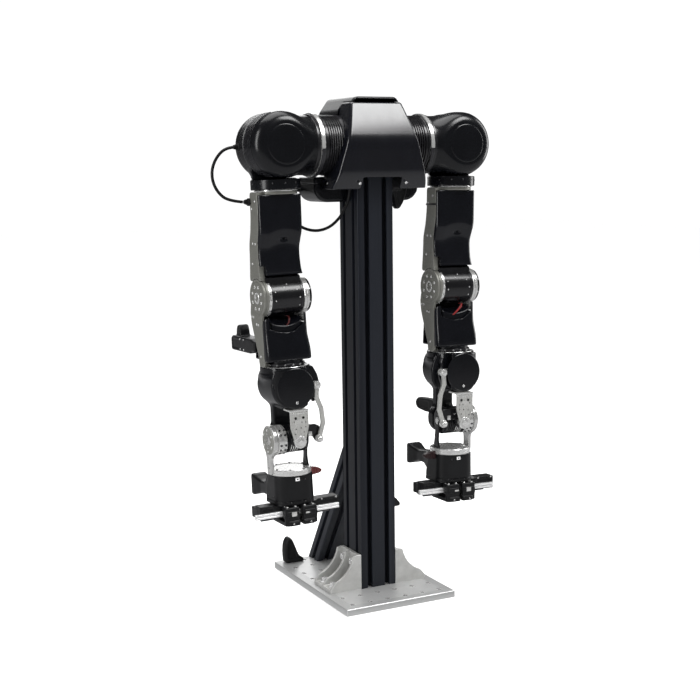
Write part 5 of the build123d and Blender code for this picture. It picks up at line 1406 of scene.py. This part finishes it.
def finger(sg):
    """Carriage on the rail, its pad and jaw, made for the outer side (x > 0) and mirrored for the inner."""
    def f(P):
        x, y, z = P
        x = x * sg
        Q = (x, y, z)
        c = s_box(Q, 2.5, 26, -35.0, -19.6, 143.2, 159.4, 2.0)
        c = smax(c, -s_box(Q, -10, 40, -23.7, -10, 145.3, 153.2, 0), 0.5)
        front = s_box(Q, 2.5, 26, -35.0, -30.0, 132.4, 150, 1.6)
        step = s_box(Q, 5.0, 23.0, -37.2, -30.0, 146.0, 154.0, 1.5)
        jaw = s_prism(Q, "z", rounded([(2.5, -38), (19, -38), (26, -30), (26, 13), (20, 20), (2.5, 20)], 2.5, 3), 132.0, 138.5, 1.3)
        d = np.minimum(smin(smin(c, front, 2.5), jaw, 2.5), step)
        hole = length((x - 14) * 1.0, (y + 6) * 0.45) - 4.0
        d = smax(d, -np.maximum(hole, np.abs(z - 135) - 9), 0.8)
        return smax(d, 2.65 - x, 0.2)
    g = nets(f, (min(2.0 * sg, 27.0 * sg), -39, 131.5), (max(2.0 * sg, 27.0 * sg), 21, 160), 0.85)
    return g


for sg, nm in ((1, "outer"), (-1, "inner")):
    arm("jaw_" + nm, finger(sg), M["moulded"], nm + "_finger", "finger_" + nm, "black_moulded")
    arm("jaw_%s_screws" % nm, join([screws([((sg * x, y, 159.4), (0, 0, 1)) for x, y in ((7.5, -31), (21, -31), (7.5, -22.5), (21, -22.5))], 1.8, 1.3, "socket", 18),
                                    screws([((sg * 14, -38.0, 135.2), (0, -1, 0))], 1.3, 0.6, "button", 14)]), M["turned"], nm + "_finger", None, "steel_fastener", auto=40)
    arm("jaw_%s_plate" % nm, join([block(min(sg * 8.5, sg * 16.5), max(sg * 8.5, sg * 16.5), -38.0, -36.6, 146.6, 153.2, 0.5)] if nm == "outer" else [block(min(sg * 6, sg * 13), max(sg * 6, sg * 13), -37.6, -36.6, 148.4, 151.0, 0.4)]),
        M["sheet"], nm + "_finger", None, "sheet_silver", auto=35)
    arm("jaw_%s_pad" % nm, block(min(sg * 2.55, sg * 3.3), max(sg * 2.55, sg * 3.3), -34, 16, 132.6, 138.0, 0.3), M["rubber"], nm + "_finger", None, "black_rubber", auto=35)

# ------------------------------------------------------------------ box on the right forearm, paddle on the left wrist


def f_fbox(P):
    x, y, z = P
    d = s_prism(P, "x", rounded([(20, 388), (20, 403), (36, 407), (107, 407), (113, 403), (113, 385), (109, 384), (40, 384), (34, 388)], 2.5, 3), -39, -16, 2.6)
    tab = s_prism(P, "x", rounded([(79, 400), (82, 417), (86, 423.5), (92, 424), (96, 418), (100, 400)], 3, 3), -36, -19, 3.0)
    d = smin(d, tab, 2.5)
    g = s_prism(P, "x", rounded([(82, 388), (82, 402), (108, 402), (108, 388)], 2, 2), -50, -38.2, 0.5)
    d = smax(d, -g, 0.6)
    d = smax(d, -s_box(P, -33.9, 40, 0, 27, 380, 430, 0), 0.6)
    return smax(d, -np.maximum(s_prism(P, "x", rounded(FL, 5, 3), -60, -34.0, 0), -1), 0.4)


GEO = nets(f_fbox, (-40, 19, 383), (-15, 125, 425), 1.0)
add("right_forearm_module", GEO, arm_matrix(-1), M["moulded"], "right_forearm", ["right_forearm_box"], "black_moulded")
add("right_forearm_module_screws", screws([((-39.0, y, z), (-1, 0, 0)) for y, z in ((62, 403), (76, 403), (62, 388), (76, 388))], 1.3, 0.7, "button", 14), arm_matrix(-1), M["steel"], "right_forearm", (), "steel_fastener", auto=40)
PD = rounded([(32, 264), (32, 284), (46, 285.5), (62, 285), (84, 283.5), (91, 277.5), (91.5, 271), (86, 264.5), (62, 262), (46, 262.5)], 4, 3)


def f_pad(P):
    x, y, z = P
    d = s_prism(P, "x", PD, -12, -2, 3.2)
    g = s_prism(P, "x", rounded([(48, 268), (48, 280), (79, 279), (84, 274), (79, 268)], 3, 3), -16, -11.2, 0.5)
    return smax(smax(d, -g, 0.8), 30.2 - y, 0.5)


add("left_rear_paddle", nets(f_pad, (-13, 29, 261), (-1, 93, 287), 0.8), arm_matrix(1), M["rubber"], "left_wrist", ["left_wrist_paddle"], "black_rubber")

with open("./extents.json", "w") as fh:
    json.dump({"cad": [[float(c) for c in v] for v in CAD_BOX], "visual": [[float(c) for c in v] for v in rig.bounds()]}, fh)
